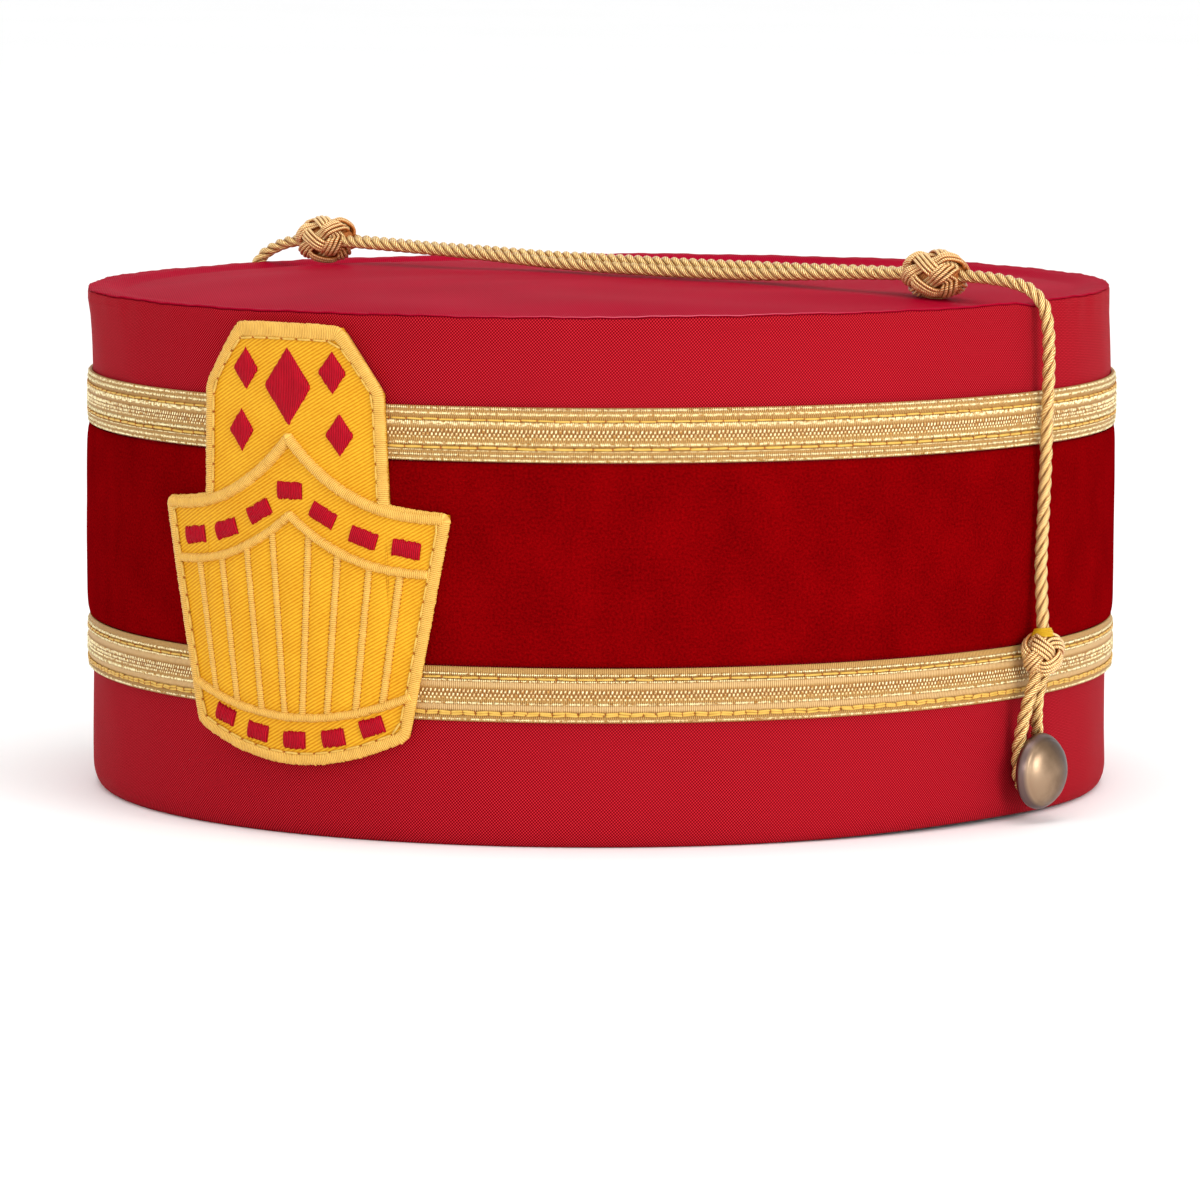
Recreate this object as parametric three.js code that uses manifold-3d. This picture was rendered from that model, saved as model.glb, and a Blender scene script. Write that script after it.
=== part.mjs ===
// A round ceremonial crown cap: a stiff satin wall with a softly domed top, a velvet band between
// two bands of metallic lace, an embroidered badge at the front, and a twisted cord that is looped
// round a domed button on each side and lies over the top.
// Millimetres, +Z up. The badge faces -Y, and the wearer's left is +X.

import * as THREE from 'three';
import { mergeVertices } from 'three/addons/utils/BufferGeometryUtils.js';
import Module from 'manifold-3d';

// Cap body, measured over the satin
const CAP_LENGTH = 195;
const CAP_WIDTH = 186;
const RIM_HEIGHT = 92;
const WALL = 3;
const GAP = 0.3; // clearance between pieces that are sewn, glued or laid together
const ROUND_SEGMENTS = 72;

// Hem: the wall rounds in to a narrow flat ring that it stands on
const HEM_HEIGHT = 4.2;
const HEM_INSET = 1.9;
const HEM_FLAT = 0.8;

// Top panel: rounded lip over the wall, slope down to a crease, low dome inside it
const LIP_FLARE = 0.3;
const LIP_ROUND = 0.8;
const ROUND_MIDDLE = 1 - Math.SQRT1_2; // how far a quarter round's middle lies inside its corner
const LIP_DEPTH = 2.1;
const CREASE_INSET = 6.3;
const CREASE_DEPTH = 2;
const DOME_RISE = 3.2;
const DOME_POWER = 4;
const PANEL = 1.6;

// Bands on the wall, as heights of their lower edges
const BAND_BACK = 0.25; // how far a band's back lies off the satin
const LACE_WIDTH = 9.5;
const LACE_EDGE = 0.85;
const LACE_CROWN = 1.1;
const LACE_LOWER_Z = 22.1;
const LACE_UPPER_Z = 67.3;
const VELVET_EDGE = 0.95;
const VELVET_CROWN = 1.3;
const VELVET_SHOULDER = 4;

// Badge layers, as distances off the satin
const PATCH_BACK = VELVET_CROWN + GAP;
const PATCH_FRONT = PATCH_BACK + 1;
const BRAID_BACK = PATCH_FRONT + GAP;
const BRAID_EDGE = 0.45;
const BRAID_CREST = 0.8;
const BADGE_FRONT = BRAID_BACK + BRAID_CREST;
const BORDER_WIDTH = 2.2;
const RIB_WIDTH = 1.15;
const BADGE_STEP = 4.5; // furthest that a badge piece runs straight before it bends with the wall
const BADGE_LEAN = 0.025; // sideways per height; the badge is sewn on a little askew
const BADGE_LEVEL = 56; // height where the lean is zero

// Patch outline: the right half from the middle, with the heights of its lower and upper edge
const PATCH_COLUMNS = [
  { x: 0, low: 12.9, high: 90.4 },
  { x: 5.5, low: 13.3, high: 90.4 },
  { x: 10.9, low: 14.4, high: 90.2 },
  { x: 14.8, low: 15.6, high: 84.6 },
  { x: 18.6, low: 17.1, high: 79 },
  { x: 19.2, low: 17.3, high: 59.6 },
  { x: 22, low: 18.7, high: 59.1 },
  { x: 26, low: 37.5, high: 58.6 },
  { x: 30, low: 56.8, high: 58.4 },
];

// Embroidered arches, pointed at the middle: height = base + rise * (1 - |x| / half) ^ power
const UPPER_ARCH = { half: 28.9, base: 57.3, rise: 12.9, power: 2.5, width: 2 };
const LOWER_ARCH = { half: 26.1, base: 47.6, rise: 9.2, power: 2.3, width: 1.6 };
// Embroidered arc at the foot: height = base + sag * (x / half) ^ 2
const FOOT_ARC = { half: 22.6, base: 21.3, sag: 5, width: 1.5 };
// Ribs of the right half, from the lower arch down to the foot arc
const RIBS = [
  { top: 3.8, foot: 1.8 },
  { top: 9.5, foot: 6.7 },
  { top: 15.4, foot: 12.2 },
  { top: 21, foot: 17.2 },
];
// Red blocks of the right half; tilt turns a block's outer end down, in degrees
const UPPER_BLOCKS = [
  { x: 0, z: 61.1, tilt: 0 },
  { x: 6.6, z: 57.1, tilt: 27 },
  { x: 14.3, z: 53.5, tilt: 18 },
  { x: 22.1, z: 51.9, tilt: 8 },
];
const LOWER_BLOCKS = [
  { x: 0, z: 17.5, tilt: 0 },
  { x: 7.8, z: 18.4, tilt: -10 },
  { x: 15.2, z: 20.8, tilt: -18 },
];
const BLOCK_LENGTH = 4.6;
const BLOCK_HEIGHT = 3;
// Red lozenges in the upper field, a large one with four small ones round it
const LOZENGES = [
  { x: -10.2, z: 71.2, width: 5.2, height: 7.6 },
  { x: -9, z: 82, width: 5.2, height: 7.6 },
  { x: 0, z: 79.3, width: 9.2, height: 14 },
  { x: 9, z: 82, width: 5.2, height: 7.6 },
  { x: 10.2, z: 71.2, width: 5.2, height: 7.6 },
];
const LOZENGE_TIP = 0.6;

// Buttons: domed, on a shank that stands on the wall
const BUTTON_Y = -6;
const BUTTON_Z = 9.2;
const BUTTON_RADIUS = 6.85;
const BUTTON_RISE = 4.6;
const SHANK_RADIUS = 2;
const SHANK_LENGTH = 3.7;
const BUTTON_SEGMENTS = 20;
const BUTTON_PROFILE = [
  { radius: 0.92, rise: 0 },
  { radius: 1, rise: 0.16 },
  { radius: 0.97, rise: 0.36 },
  { radius: 0.84, rise: 0.64 },
  { radius: 0.6, rise: 0.86 },
  { radius: 0.3, rise: 0.97 },
];

// Cord and knots; a knot's length is along the cord
const CORD = 2.4;
const CORD_SIDES = 8;
const STRAND_SPACING = CORD + GAP;
const TOP_KNOT = { length: 11.2, width: 8.8, height: 8.8 };
const SIDE_KNOT = { length: 7.5, width: 8.4, height: 7 };
const KNOT_END = 0.64; // radius of a knot's flat end, as a share of its full radius
const KNOT_LOBES = 4;
const KNOT_RELIEF = 0.06;
const KNOT_SEGMENTS = 16;
const KNOT_ROWS = 7;

// Places of the knots on the cord
const KNOT_TOP_LEFT = { x: 71, y: 0.3, z: 96.7 };
const KNOT_TOP_RIGHT = { x: -75.7, y: 17.9, z: 97.1 };
const KNOT_SIDE_LEFT = { x: 97.7, y: BUTTON_Y, z: 30.3 };
const KNOT_SIDE_RIGHT = { x: -97.7, y: BUTTON_Y, z: 30.3 };

// Cord routes. The left rise goes up the wall, over the rim and on to the left top knot.
const RISE_LEFT = [
  { x: 97.6, y: -5.9, z: 34.4 },
  { x: 97, y: -5.3, z: 39 },
  { x: 96.2, y: -4.4, z: 45.5 },
  { x: 96, y: -3.6, z: 53 },
  { x: 96, y: -3, z: 61 },
  { x: 96, y: -2.6, z: 69 },
  { x: 96, y: -2.2, z: 77 },
  { x: 95.9, y: -2, z: 84 },
  { x: 95.6, y: -2, z: 88.6 },
  { x: 94.6, y: -2.1, z: 92.4 },
  { x: 92.2, y: -2, z: 94.7 },
  { x: 88.4, y: -1.6, z: 95.9 },
  { x: 83.4, y: -1.1, z: 96.5 },
  { x: 76.9, y: -0.4, z: 96.7 },
];
// The front strand between the top knots rests on the dome near the middle.
const SPAN_FRONT = [
  { x: 65.1, y: -0.3, z: 96.6 },
  { x: 56, y: 0.8, z: 96.3 },
  { x: 45, y: 2.1, z: 95.7 },
  { x: 31, y: 3.9, z: 95 },
  { x: 17, y: 5.6, z: 94.75 },
  { x: 3, y: 7.3, z: 94.75 },
  { x: -9, y: 8.7, z: 94.85 },
  { x: -21, y: 10.1, z: 95.2 },
  { x: -35, y: 11.8, z: 95.9 },
  { x: -50, y: 13.6, z: 96.4 },
  { x: -69.8, y: 15.8, z: 97 },
];
// The back strand lies beside it and leans on it where it lifts; lift is in mm.
const SPAN_BACK_LIFT = [0, 0.2, 0.6, 1.15, 1.25, 1.25, 1.2, 0.8, 0.4, 0.1, 0];
// The right rise leaves the right top knot, crosses the rim and slants down to its side knot.
const RISE_RIGHT = [
  { x: -81.6, y: 18.6, z: 96.7 },
  { x: -85.6, y: 19.1, z: 96.1 },
  { x: -89.3, y: 19.6, z: 94.9 },
  { x: -92.4, y: 20, z: 93.2 },
  { x: -94.3, y: 19.8, z: 90.4 },
  { x: -94.5, y: 19, z: 84 },
  { x: -94.8, y: 17, z: 76 },
  { x: -95.1, y: 14.2, z: 67 },
  { x: -95.4, y: 10.6, z: 57 },
  { x: -95.8, y: 6.2, z: 48 },
  { x: -96.4, y: 1.2, z: 41 },
  { x: -97.4, y: -4.2, z: 34.9 },
];
// The two legs of a loop, from its side knot down to the shank; front and back are measured from
// the button's middle.
const LOOP_LEGS = [
  { x: 97.5, front: -2.2, back: 0.5, z: 26.2 },
  { x: 97, front: -3.2, back: -0.2, z: 23 },
  { x: 95.9, front: -4.4, back: 1.2, z: 17.5 },
  { x: 95, front: -4.9, back: 3.7, z: 12.6 },
];
const LOOP_RADIUS = 2 * CORD;
const LOOP_X = 94.8;
const LOOP_TURN_STEPS = 6;
const CORD_STEPS = { rise: 17, span: 10, loop: 18 };

const SATIN = { color: 0xb31a2a, roughness: 0.42, metalness: 0 };
const VELVET = { color: 0x8a0008, roughness: 0.9, metalness: 0 };
const LACE = { color: 0xd8aa5c, roughness: 0.4, metalness: 0.5 };
const TWILL = { color: 0xf2b01e, roughness: 0.7, metalness: 0 };
const GOLD_THREAD = { color: 0xf4c551, roughness: 0.45, metalness: 0 };
const RED_THREAD = { color: 0xb3101f, roughness: 0.45, metalness: 0 };
const GOLD_CORD = { color: 0xd6a557, roughness: 0.45, metalness: 0.3 };
const BRASS = { color: 0x8f7449, roughness: 0.4, metalness: 1 };

const RADIUS = CAP_WIDTH / 2;
const OVAL = CAP_LENGTH / CAP_WIDTH;
const CREASE_RADIUS = RADIUS - CREASE_INSET;
const CREASE_Z = RIM_HEIGHT - CREASE_DEPTH;
const LIP_Z = RIM_HEIGHT - LIP_DEPTH;

const wasm = await Module();
wasm.setup();

const group = new THREE.Group();

function addPiece(name, geometry, finish) {
  const mesh = new THREE.Mesh(geometry, new THREE.MeshStandardMaterial(finish));
  mesh.name = name;
  group.add(mesh);
  return mesh;
}

const toVector = ({ x, y, z }) => new THREE.Vector3(x, y, z);
const mirrored = ({ x, y, z }) => ({ x: -x, y, z });

// Cap body

// Turns a profile of radius and height, counter-clockwise, round the cap's oval.
function ovalLathe(profile) {
  const points = profile.map(({ r, z }) => new THREE.Vector2(r, z));
  const geometry = new THREE.LatheGeometry(points, ROUND_SEGMENTS);
  geometry.rotateX(Math.PI / 2);
  geometry.scale(1, OVAL, 1);
  return geometry;
}

function hemCurve(share) {
  const angle = (share * Math.PI) / 2;
  return {
    r: RADIUS - HEM_INSET * (1 - Math.sin(angle)),
    z: HEM_HEIGHT * (1 - Math.cos(angle)),
  };
}

function crownWall() {
  const inner = RADIUS - WALL;
  const flatInner = RADIUS - HEM_INSET - HEM_FLAT;
  const profile = [
    { r: flatInner, z: 0 },
    ...[0, 0.35, 0.7, 1].map(hemCurve),
    { r: RADIUS, z: LACE_UPPER_Z + LACE_WIDTH },
    { r: RADIUS + LIP_FLARE, z: LIP_Z - GAP },
    { r: inner, z: LIP_Z - GAP },
    { r: inner, z: flatInner - inner },
    { r: flatInner, z: 0 },
  ];
  return ovalLathe(profile);
}

function domeHeight(r) {
  return CREASE_Z + DOME_RISE * (1 - (r / CREASE_RADIUS) ** DOME_POWER);
}

function crownTop() {
  const lip = RADIUS + LIP_FLARE;
  const seat = RADIUS - WALL - GAP;
  const domeShares = [0.88, 0.72, 0.46, 0];
  const under = (share) => ({ r: share * CREASE_RADIUS, z: domeHeight(share * CREASE_RADIUS) - PANEL });
  const over = (share) => ({ r: share * CREASE_RADIUS, z: domeHeight(share * CREASE_RADIUS) });
  const profile = [
    ...[0, 0.6, 1].map(under),
    { r: seat, z: CREASE_Z - PANEL },
    { r: seat, z: LIP_Z },
    { r: lip, z: LIP_Z },
    { r: lip, z: RIM_HEIGHT - LIP_ROUND },
    { r: lip - LIP_ROUND * ROUND_MIDDLE, z: RIM_HEIGHT - LIP_ROUND * ROUND_MIDDLE },
    { r: lip - LIP_ROUND, z: RIM_HEIGHT },
    { r: CREASE_RADIUS, z: CREASE_Z },
    ...domeShares.map(over),
  ];
  return ovalLathe(profile);
}

function velvetBand() {
  const low = LACE_LOWER_Z + LACE_WIDTH + GAP;
  const high = LACE_UPPER_Z - GAP;
  const profile = [
    { r: RADIUS + BAND_BACK, z: low },
    { r: RADIUS + VELVET_EDGE, z: low },
    { r: RADIUS + VELVET_CROWN, z: low + VELVET_SHOULDER },
    { r: RADIUS + VELVET_CROWN, z: high - VELVET_SHOULDER },
    { r: RADIUS + VELVET_EDGE, z: high },
    { r: RADIUS + BAND_BACK, z: high },
    { r: RADIUS + BAND_BACK, z: low },
  ];
  return ovalLathe(profile);
}

function laceBand(low) {
  const high = low + LACE_WIDTH;
  const profile = [
    { r: RADIUS + BAND_BACK, z: low },
    { r: RADIUS + LACE_EDGE, z: low },
    { r: RADIUS + LACE_CROWN, z: (low + high) / 2 },
    { r: RADIUS + LACE_EDGE, z: high },
    { r: RADIUS + BAND_BACK, z: high },
    { r: RADIUS + BAND_BACK, z: low },
  ];
  return ovalLathe(profile);
}

addPiece('crown_wall', crownWall(), SATIN);
addPiece('crown_top', crownTop(), SATIN);
addPiece('velvet_band', velvetBand(), VELVET);
addPiece('lace_lower', laceBand(LACE_LOWER_Z), LACE);
addPiece('lace_upper', laceBand(LACE_UPPER_Z), LACE);

// Badge

// A place on the front of the cap: x along the wall, height z, and distance off the satin.
function onFront(x, z, off) {
  const turn = (x + BADGE_LEAN * (BADGE_LEVEL - z)) / RADIUS;
  const reach = RADIUS + off;
  return new THREE.Vector3(reach * Math.sin(turn), -reach * OVAL * Math.cos(turn), z);
}

// Joins equal loops of points into one closed skin. The loops run clockwise along the path.
function loft(loops, closed) {
  const size = loops[0].length;
  const positions = loops.flat().flatMap((point) => point.toArray());
  const faces = [];
  const count = closed ? loops.length : loops.length - 1;
  for (let i = 0; i < count; i += 1) {
    const near = i * size;
    const far = ((i + 1) % loops.length) * size;
    for (let k = 0; k < size; k += 1) {
      const next = (k + 1) % size;
      faces.push(near + k, near + next, far + next, near + k, far + next, far + k);
    }
  }
  if (!closed) {
    const last = (loops.length - 1) * size;
    for (let k = 1; k < size - 1; k += 1) {
      faces.push(0, k + 1, k, last, last + k, last + k + 1);
    }
  }
  const geometry = new THREE.BufferGeometry();
  geometry.setAttribute('position', new THREE.Float32BufferAttribute(positions, 3));
  geometry.setIndex(faces);
  return geometry;
}

// Adds points to a flat path so that no step goes further round the wall than BADGE_STEP.
function refine(path, closed) {
  const fine = [];
  path.forEach((start, i) => {
    fine.push(start);
    const end = path[(i + 1) % path.length];
    if (i === path.length - 1 && !closed) return;
    const pieces = Math.ceil(Math.abs(end.x - start.x) / BADGE_STEP);
    for (let n = 1; n < pieces; n += 1) fine.push(start.clone().lerp(end, n / pieces));
  });
  return fine;
}

// The path moved sideways to its left, with mitred corners.
function moved(path, distance, closed) {
  const last = path.length - 1;
  return path.map((point, i) => {
    const before = path[i > 0 ? i - 1 : closed ? last : 0];
    const after = path[i < last ? i + 1 : closed ? 0 : last];
    const into = point.clone().sub(before).normalize();
    const out = after.clone().sub(point).normalize();
    const along = into.clone().add(out).normalize();
    const mitre = into.lengthSq() && out.lengthSq() ? Math.max(along.dot(out), 0.5) : 1;
    return new THREE.Vector2(-along.y, along.x).multiplyScalar(distance / mitre).add(point);
  });
}

// A raised bar of embroidery along a flat path, with a crest down its middle.
function ribbon(path, width, closed = false) {
  const middle = refine(path, closed);
  const left = moved(middle, width / 2, closed);
  const right = moved(middle, -width / 2, closed);
  const loops = middle.map((crest, i) => [
    onFront(left[i].x, left[i].y, BRAID_BACK),
    onFront(left[i].x, left[i].y, BRAID_BACK + BRAID_EDGE),
    onFront(crest.x, crest.y, BADGE_FRONT),
    onFront(right[i].x, right[i].y, BRAID_BACK + BRAID_EDGE),
    onFront(right[i].x, right[i].y, BRAID_BACK),
  ]);
  return loft(loops, closed);
}

const flat = (x, z) => new THREE.Vector2(x, z);
const leftHalf = (rows) => rows.filter(({ x }) => x > 0).map((row) => ({ ...row, x: -row.x })).reverse();
const patchColumns = [...leftHalf(PATCH_COLUMNS), ...PATCH_COLUMNS];

function badgePatch() {
  const loops = patchColumns.map(({ x, low, high }) => [
    onFront(x, high, PATCH_BACK),
    onFront(x, high, PATCH_FRONT),
    onFront(x, low, PATCH_FRONT),
    onFront(x, low, PATCH_BACK),
  ]);
  return loft(loops, false);
}

function borderBar() {
  const lower = patchColumns.map(({ x, low }) => flat(x, low));
  const upper = patchColumns.map(({ x, high }) => flat(x, high)).reverse();
  return ribbon(moved([...lower, ...upper], BORDER_WIDTH / 2, true), BORDER_WIDTH, true);
}

function archHeight({ half, base, rise, power }, x) {
  return base + rise * (1 - Math.abs(x) / half) ** power;
}

function footHeight(x) {
  return FOOT_ARC.base + FOOT_ARC.sag * (x / FOOT_ARC.half) ** 2;
}

function acrossBar(half, height, width) {
  const shares = [-1, -0.8, -0.6, -0.4, -0.24, -0.1, 0, 0.1, 0.24, 0.4, 0.6, 0.8, 1];
  return ribbon(shares.map((share) => flat(share * half, height(share * half))), width);
}

function ribBar(side, { top, foot }) {
  const head = flat(side * top, archHeight(LOWER_ARCH, top));
  const base = flat(side * foot, footHeight(foot));
  return ribbon([base, head], RIB_WIDTH);
}

function toSolid(geometry) {
  const merged = mergeVertices(geometry);
  return new wasm.Manifold(new wasm.Mesh({
    numProp: 3,
    vertProperties: merged.getAttribute('position').array,
    triVerts: Uint32Array.from(merged.index.array),
  }));
}

function toGeometry(solid) {
  const mesh = solid.getMesh();
  const geometry = new THREE.BufferGeometry();
  geometry.setAttribute('position', new THREE.BufferAttribute(mesh.vertProperties, mesh.numProp));
  geometry.setIndex(new THREE.BufferAttribute(mesh.triVerts, 1));
  return geometry;
}

function badgeBraid() {
  const bars = [
    borderBar(),
    acrossBar(UPPER_ARCH.half, (x) => archHeight(UPPER_ARCH, x), UPPER_ARCH.width),
    acrossBar(LOWER_ARCH.half, (x) => archHeight(LOWER_ARCH, x), LOWER_ARCH.width),
    acrossBar(FOOT_ARC.half, footHeight, FOOT_ARC.width),
    ...RIBS.flatMap((rib) => [ribBar(-1, rib), ribBar(1, rib)]),
  ];
  return toGeometry(bars.map(toSolid).reduce((joined, bar) => joined.add(bar)));
}

function block({ x, z, tilt }) {
  const slope = THREE.MathUtils.degToRad(tilt) * Math.sign(x);
  const reach = flat(Math.cos(slope), -Math.sin(slope)).multiplyScalar(BLOCK_LENGTH / 2);
  return ribbon([flat(x, z).sub(reach), flat(x, z).add(reach)], BLOCK_HEIGHT);
}

function lozenge({ x, z, width, height }) {
  const columns = [
    { at: -width / 2, reach: LOZENGE_TIP / 2 },
    { at: 0, reach: height / 2 },
    { at: width / 2, reach: LOZENGE_TIP / 2 },
  ];
  const loops = columns.map(({ at, reach }) => [
    onFront(x + at, z + reach, BRAID_BACK),
    onFront(x + at, z + reach, BRAID_BACK + BRAID_EDGE),
    onFront(x + at, z - reach, BRAID_BACK + BRAID_EDGE),
    onFront(x + at, z - reach, BRAID_BACK),
  ]);
  return loft(loops, false);
}

addPiece('badge_patch', badgePatch(), TWILL);
addPiece('badge_braid', badgeBraid(), GOLD_THREAD);
[...leftHalf(UPPER_BLOCKS), ...UPPER_BLOCKS].forEach((row, i) => {
  addPiece(`badge_block_upper_${i + 1}`, block(row), RED_THREAD);
});
[...leftHalf(LOWER_BLOCKS), ...LOWER_BLOCKS].forEach((row, i) => {
  addPiece(`badge_block_lower_${i + 1}`, block(row), RED_THREAD);
});
LOZENGES.forEach((row, i) => addPiece(`badge_lozenge_${i + 1}`, lozenge(row), RED_THREAD));

// Buttons

function button() {
  const profile = [
    flat(0, 0),
    flat(SHANK_RADIUS, 0),
    flat(SHANK_RADIUS, SHANK_LENGTH),
    ...BUTTON_PROFILE.map(({ radius, rise }) => (
      flat(radius * BUTTON_RADIUS, SHANK_LENGTH + rise * BUTTON_RISE)
    )),
    flat(0, SHANK_LENGTH + BUTTON_RISE),
  ];
  return new THREE.LatheGeometry(profile, BUTTON_SEGMENTS);
}

function wallReach(y) {
  return RADIUS * Math.sqrt(1 - (y / (RADIUS * OVAL)) ** 2);
}

function placeButton(name, side) {
  const piece = addPiece(name, button(), BRASS);
  piece.position.set(side * (wallReach(BUTTON_Y) + GAP), BUTTON_Y, BUTTON_Z);
  piece.rotation.z = (-side * Math.PI) / 2;
}

placeButton('button_left', 1);
placeButton('button_right', -1);

// Cord and knots

function tube(route, steps) {
  const section = new THREE.Shape();
  for (let i = 0; i < CORD_SIDES; i += 1) {
    const angle = (i / CORD_SIDES) * 2 * Math.PI;
    const corner = [(CORD / 2) * Math.cos(angle), (CORD / 2) * Math.sin(angle)];
    if (i === 0) section.moveTo(...corner);
    else section.lineTo(...corner);
  }
  section.closePath();
  const extrudePath = new THREE.CatmullRomCurve3(route.map(toVector));
  return new THREE.ExtrudeGeometry(section, { steps, extrudePath });
}

// A barrel along Y with low crossing lobes round it and flat ends where the cord comes out.
function knot({ length, width, height }) {
  const profile = [flat(0, -length / 2)];
  for (let row = 0; row <= KNOT_ROWS; row += 1) {
    const along = (2 * row) / KNOT_ROWS - 1;
    const swell = KNOT_END + (1 - KNOT_END) * Math.sqrt(1 - along ** 4);
    profile.push(flat(swell, (along * length) / 2));
  }
  profile.push(flat(0, length / 2));
  const geometry = new THREE.LatheGeometry(profile, KNOT_SEGMENTS);
  const position = geometry.getAttribute('position');
  const place = new THREE.Vector3();
  for (let i = 0; i < position.count; i += 1) {
    place.fromBufferAttribute(position, i);
    const round = Math.atan2(place.x, place.z) * KNOT_LOBES;
    const swing = (place.y / length) * Math.PI;
    const inside = Math.abs(place.y) < length / 2 - GAP ? 1 : 0;
    const relief = 1 + inside * KNOT_RELIEF * (Math.cos(round + swing) * Math.cos(round - swing) - 1);
    position.setXYZ(i, (place.x * relief * height) / 2, place.y, (place.z * relief * width) / 2);
  }
  return geometry;
}

function placeKnot(name, size, at, toward) {
  const piece = addPiece(name, knot(size), GOLD_CORD);
  piece.position.copy(toVector(at));
  const along = toVector(toward).sub(toVector(at)).normalize();
  piece.quaternion.setFromUnitVectors(new THREE.Vector3(0, 1, 0), along);
}

function backStrand() {
  return SPAN_FRONT.map(({ x, y, z }, i) => {
    const lift = SPAN_BACK_LIFT[i];
    return { x, y: y + Math.sqrt(STRAND_SPACING ** 2 - lift ** 2), z: z + lift };
  });
}

// The loop goes down one side of the shank, round under it and up the other side.
function loopRoute() {
  const down = LOOP_LEGS.map(({ x, front, z }) => ({ x, y: BUTTON_Y + front, z }));
  const up = LOOP_LEGS.map(({ x, back, z }) => ({ x, y: BUTTON_Y + back, z })).reverse();
  const turn = [];
  for (let i = 0; i <= LOOP_TURN_STEPS; i += 1) {
    const angle = (i / LOOP_TURN_STEPS) * Math.PI;
    const y = BUTTON_Y - LOOP_RADIUS * Math.cos(angle);
    turn.push({ x: LOOP_X, y, z: BUTTON_Z - LOOP_RADIUS * Math.sin(angle) });
  }
  return [...down, ...turn, ...up];
}

addPiece('cord_rise_left', tube(RISE_LEFT, CORD_STEPS.rise), GOLD_CORD);
addPiece('cord_rise_right', tube(RISE_RIGHT, CORD_STEPS.rise), GOLD_CORD);
addPiece('cord_span_front', tube(SPAN_FRONT, CORD_STEPS.span), GOLD_CORD);
addPiece('cord_span_back', tube(backStrand(), CORD_STEPS.span), GOLD_CORD);
addPiece('cord_loop_left', tube(loopRoute(), CORD_STEPS.loop), GOLD_CORD);
addPiece('cord_loop_right', tube(loopRoute().map(mirrored), CORD_STEPS.loop), GOLD_CORD);

const above = ({ x, y, z }) => ({ x, y, z: z + 1 });
placeKnot('knot_top_left', TOP_KNOT, KNOT_TOP_LEFT, RISE_LEFT.at(-1));
placeKnot('knot_top_right', TOP_KNOT, KNOT_TOP_RIGHT, RISE_RIGHT[0]);
placeKnot('knot_side_left', SIDE_KNOT, KNOT_SIDE_LEFT, above(KNOT_SIDE_LEFT));
placeKnot('knot_side_right', SIDE_KNOT, KNOT_SIDE_RIGHT, above(KNOT_SIDE_RIGHT));

// The origin is at the middle of the footprint, and the badge reaches further than the back.
group.position.y = ((BADGE_FRONT - VELVET_CROWN) * OVAL) / 2;

export default group;
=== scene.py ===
"""Dresses the crown cap: satin, velvet, lace, embroidery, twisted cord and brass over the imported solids.

Metres, +Z up. The badge faces -Y, and the wearer's left is +X.
"""
import math

import bpy
import numpy as np
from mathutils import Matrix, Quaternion, Vector


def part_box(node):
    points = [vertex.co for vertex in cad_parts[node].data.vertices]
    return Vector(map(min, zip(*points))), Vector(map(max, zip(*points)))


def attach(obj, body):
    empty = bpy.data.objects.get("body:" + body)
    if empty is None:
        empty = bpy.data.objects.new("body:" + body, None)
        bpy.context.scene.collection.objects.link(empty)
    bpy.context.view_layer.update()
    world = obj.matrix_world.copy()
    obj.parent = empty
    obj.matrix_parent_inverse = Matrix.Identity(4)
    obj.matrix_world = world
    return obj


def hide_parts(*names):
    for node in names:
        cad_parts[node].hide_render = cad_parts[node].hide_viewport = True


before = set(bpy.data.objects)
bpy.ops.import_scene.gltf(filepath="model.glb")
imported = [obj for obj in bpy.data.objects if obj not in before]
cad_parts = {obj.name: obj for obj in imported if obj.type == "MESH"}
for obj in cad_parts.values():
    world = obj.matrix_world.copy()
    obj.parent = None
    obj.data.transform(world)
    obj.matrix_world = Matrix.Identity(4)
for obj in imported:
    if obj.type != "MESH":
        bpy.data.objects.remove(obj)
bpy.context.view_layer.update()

MM = 0.001
BODY = "root"
CLOTH = "cloth"  # the UV map: metres along and across each cloth or thread
FULL_TURN = 2 * math.pi
THREAD = 0.34 * MM  # spacing of the embroidery's threads
WOVEN = 0.363 * MM  # spacing of the lace's threads

# Cap body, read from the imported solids
wall_low, wall_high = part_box("crown_wall")
LIP_FLARE = 0.3 * MM
RADIUS = (wall_high.x - wall_low.x) / 2 - LIP_FLARE
GIRTH = FULL_TURN * RADIUS
OVAL = (wall_high.y - wall_low.y) / (wall_high.x - wall_low.x)
CENTRE_Y = (wall_high.y + wall_low.y) / 2
BAND_BACK = 0.25 * MM  # how far a band's back lies off the satin


def table(columns, *rows):
    """Rows with named columns. A row may leave out its last ones."""
    return [dict(zip(columns.split(), row)) for row in rows]


def add_object(name, data):
    made = bpy.data.objects.new(name, data)
    bpy.context.scene.collection.objects.link(made)
    return made


# Shapes from arrays

ROUTE_FINENESS = 24  # points between two of a route's own


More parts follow.
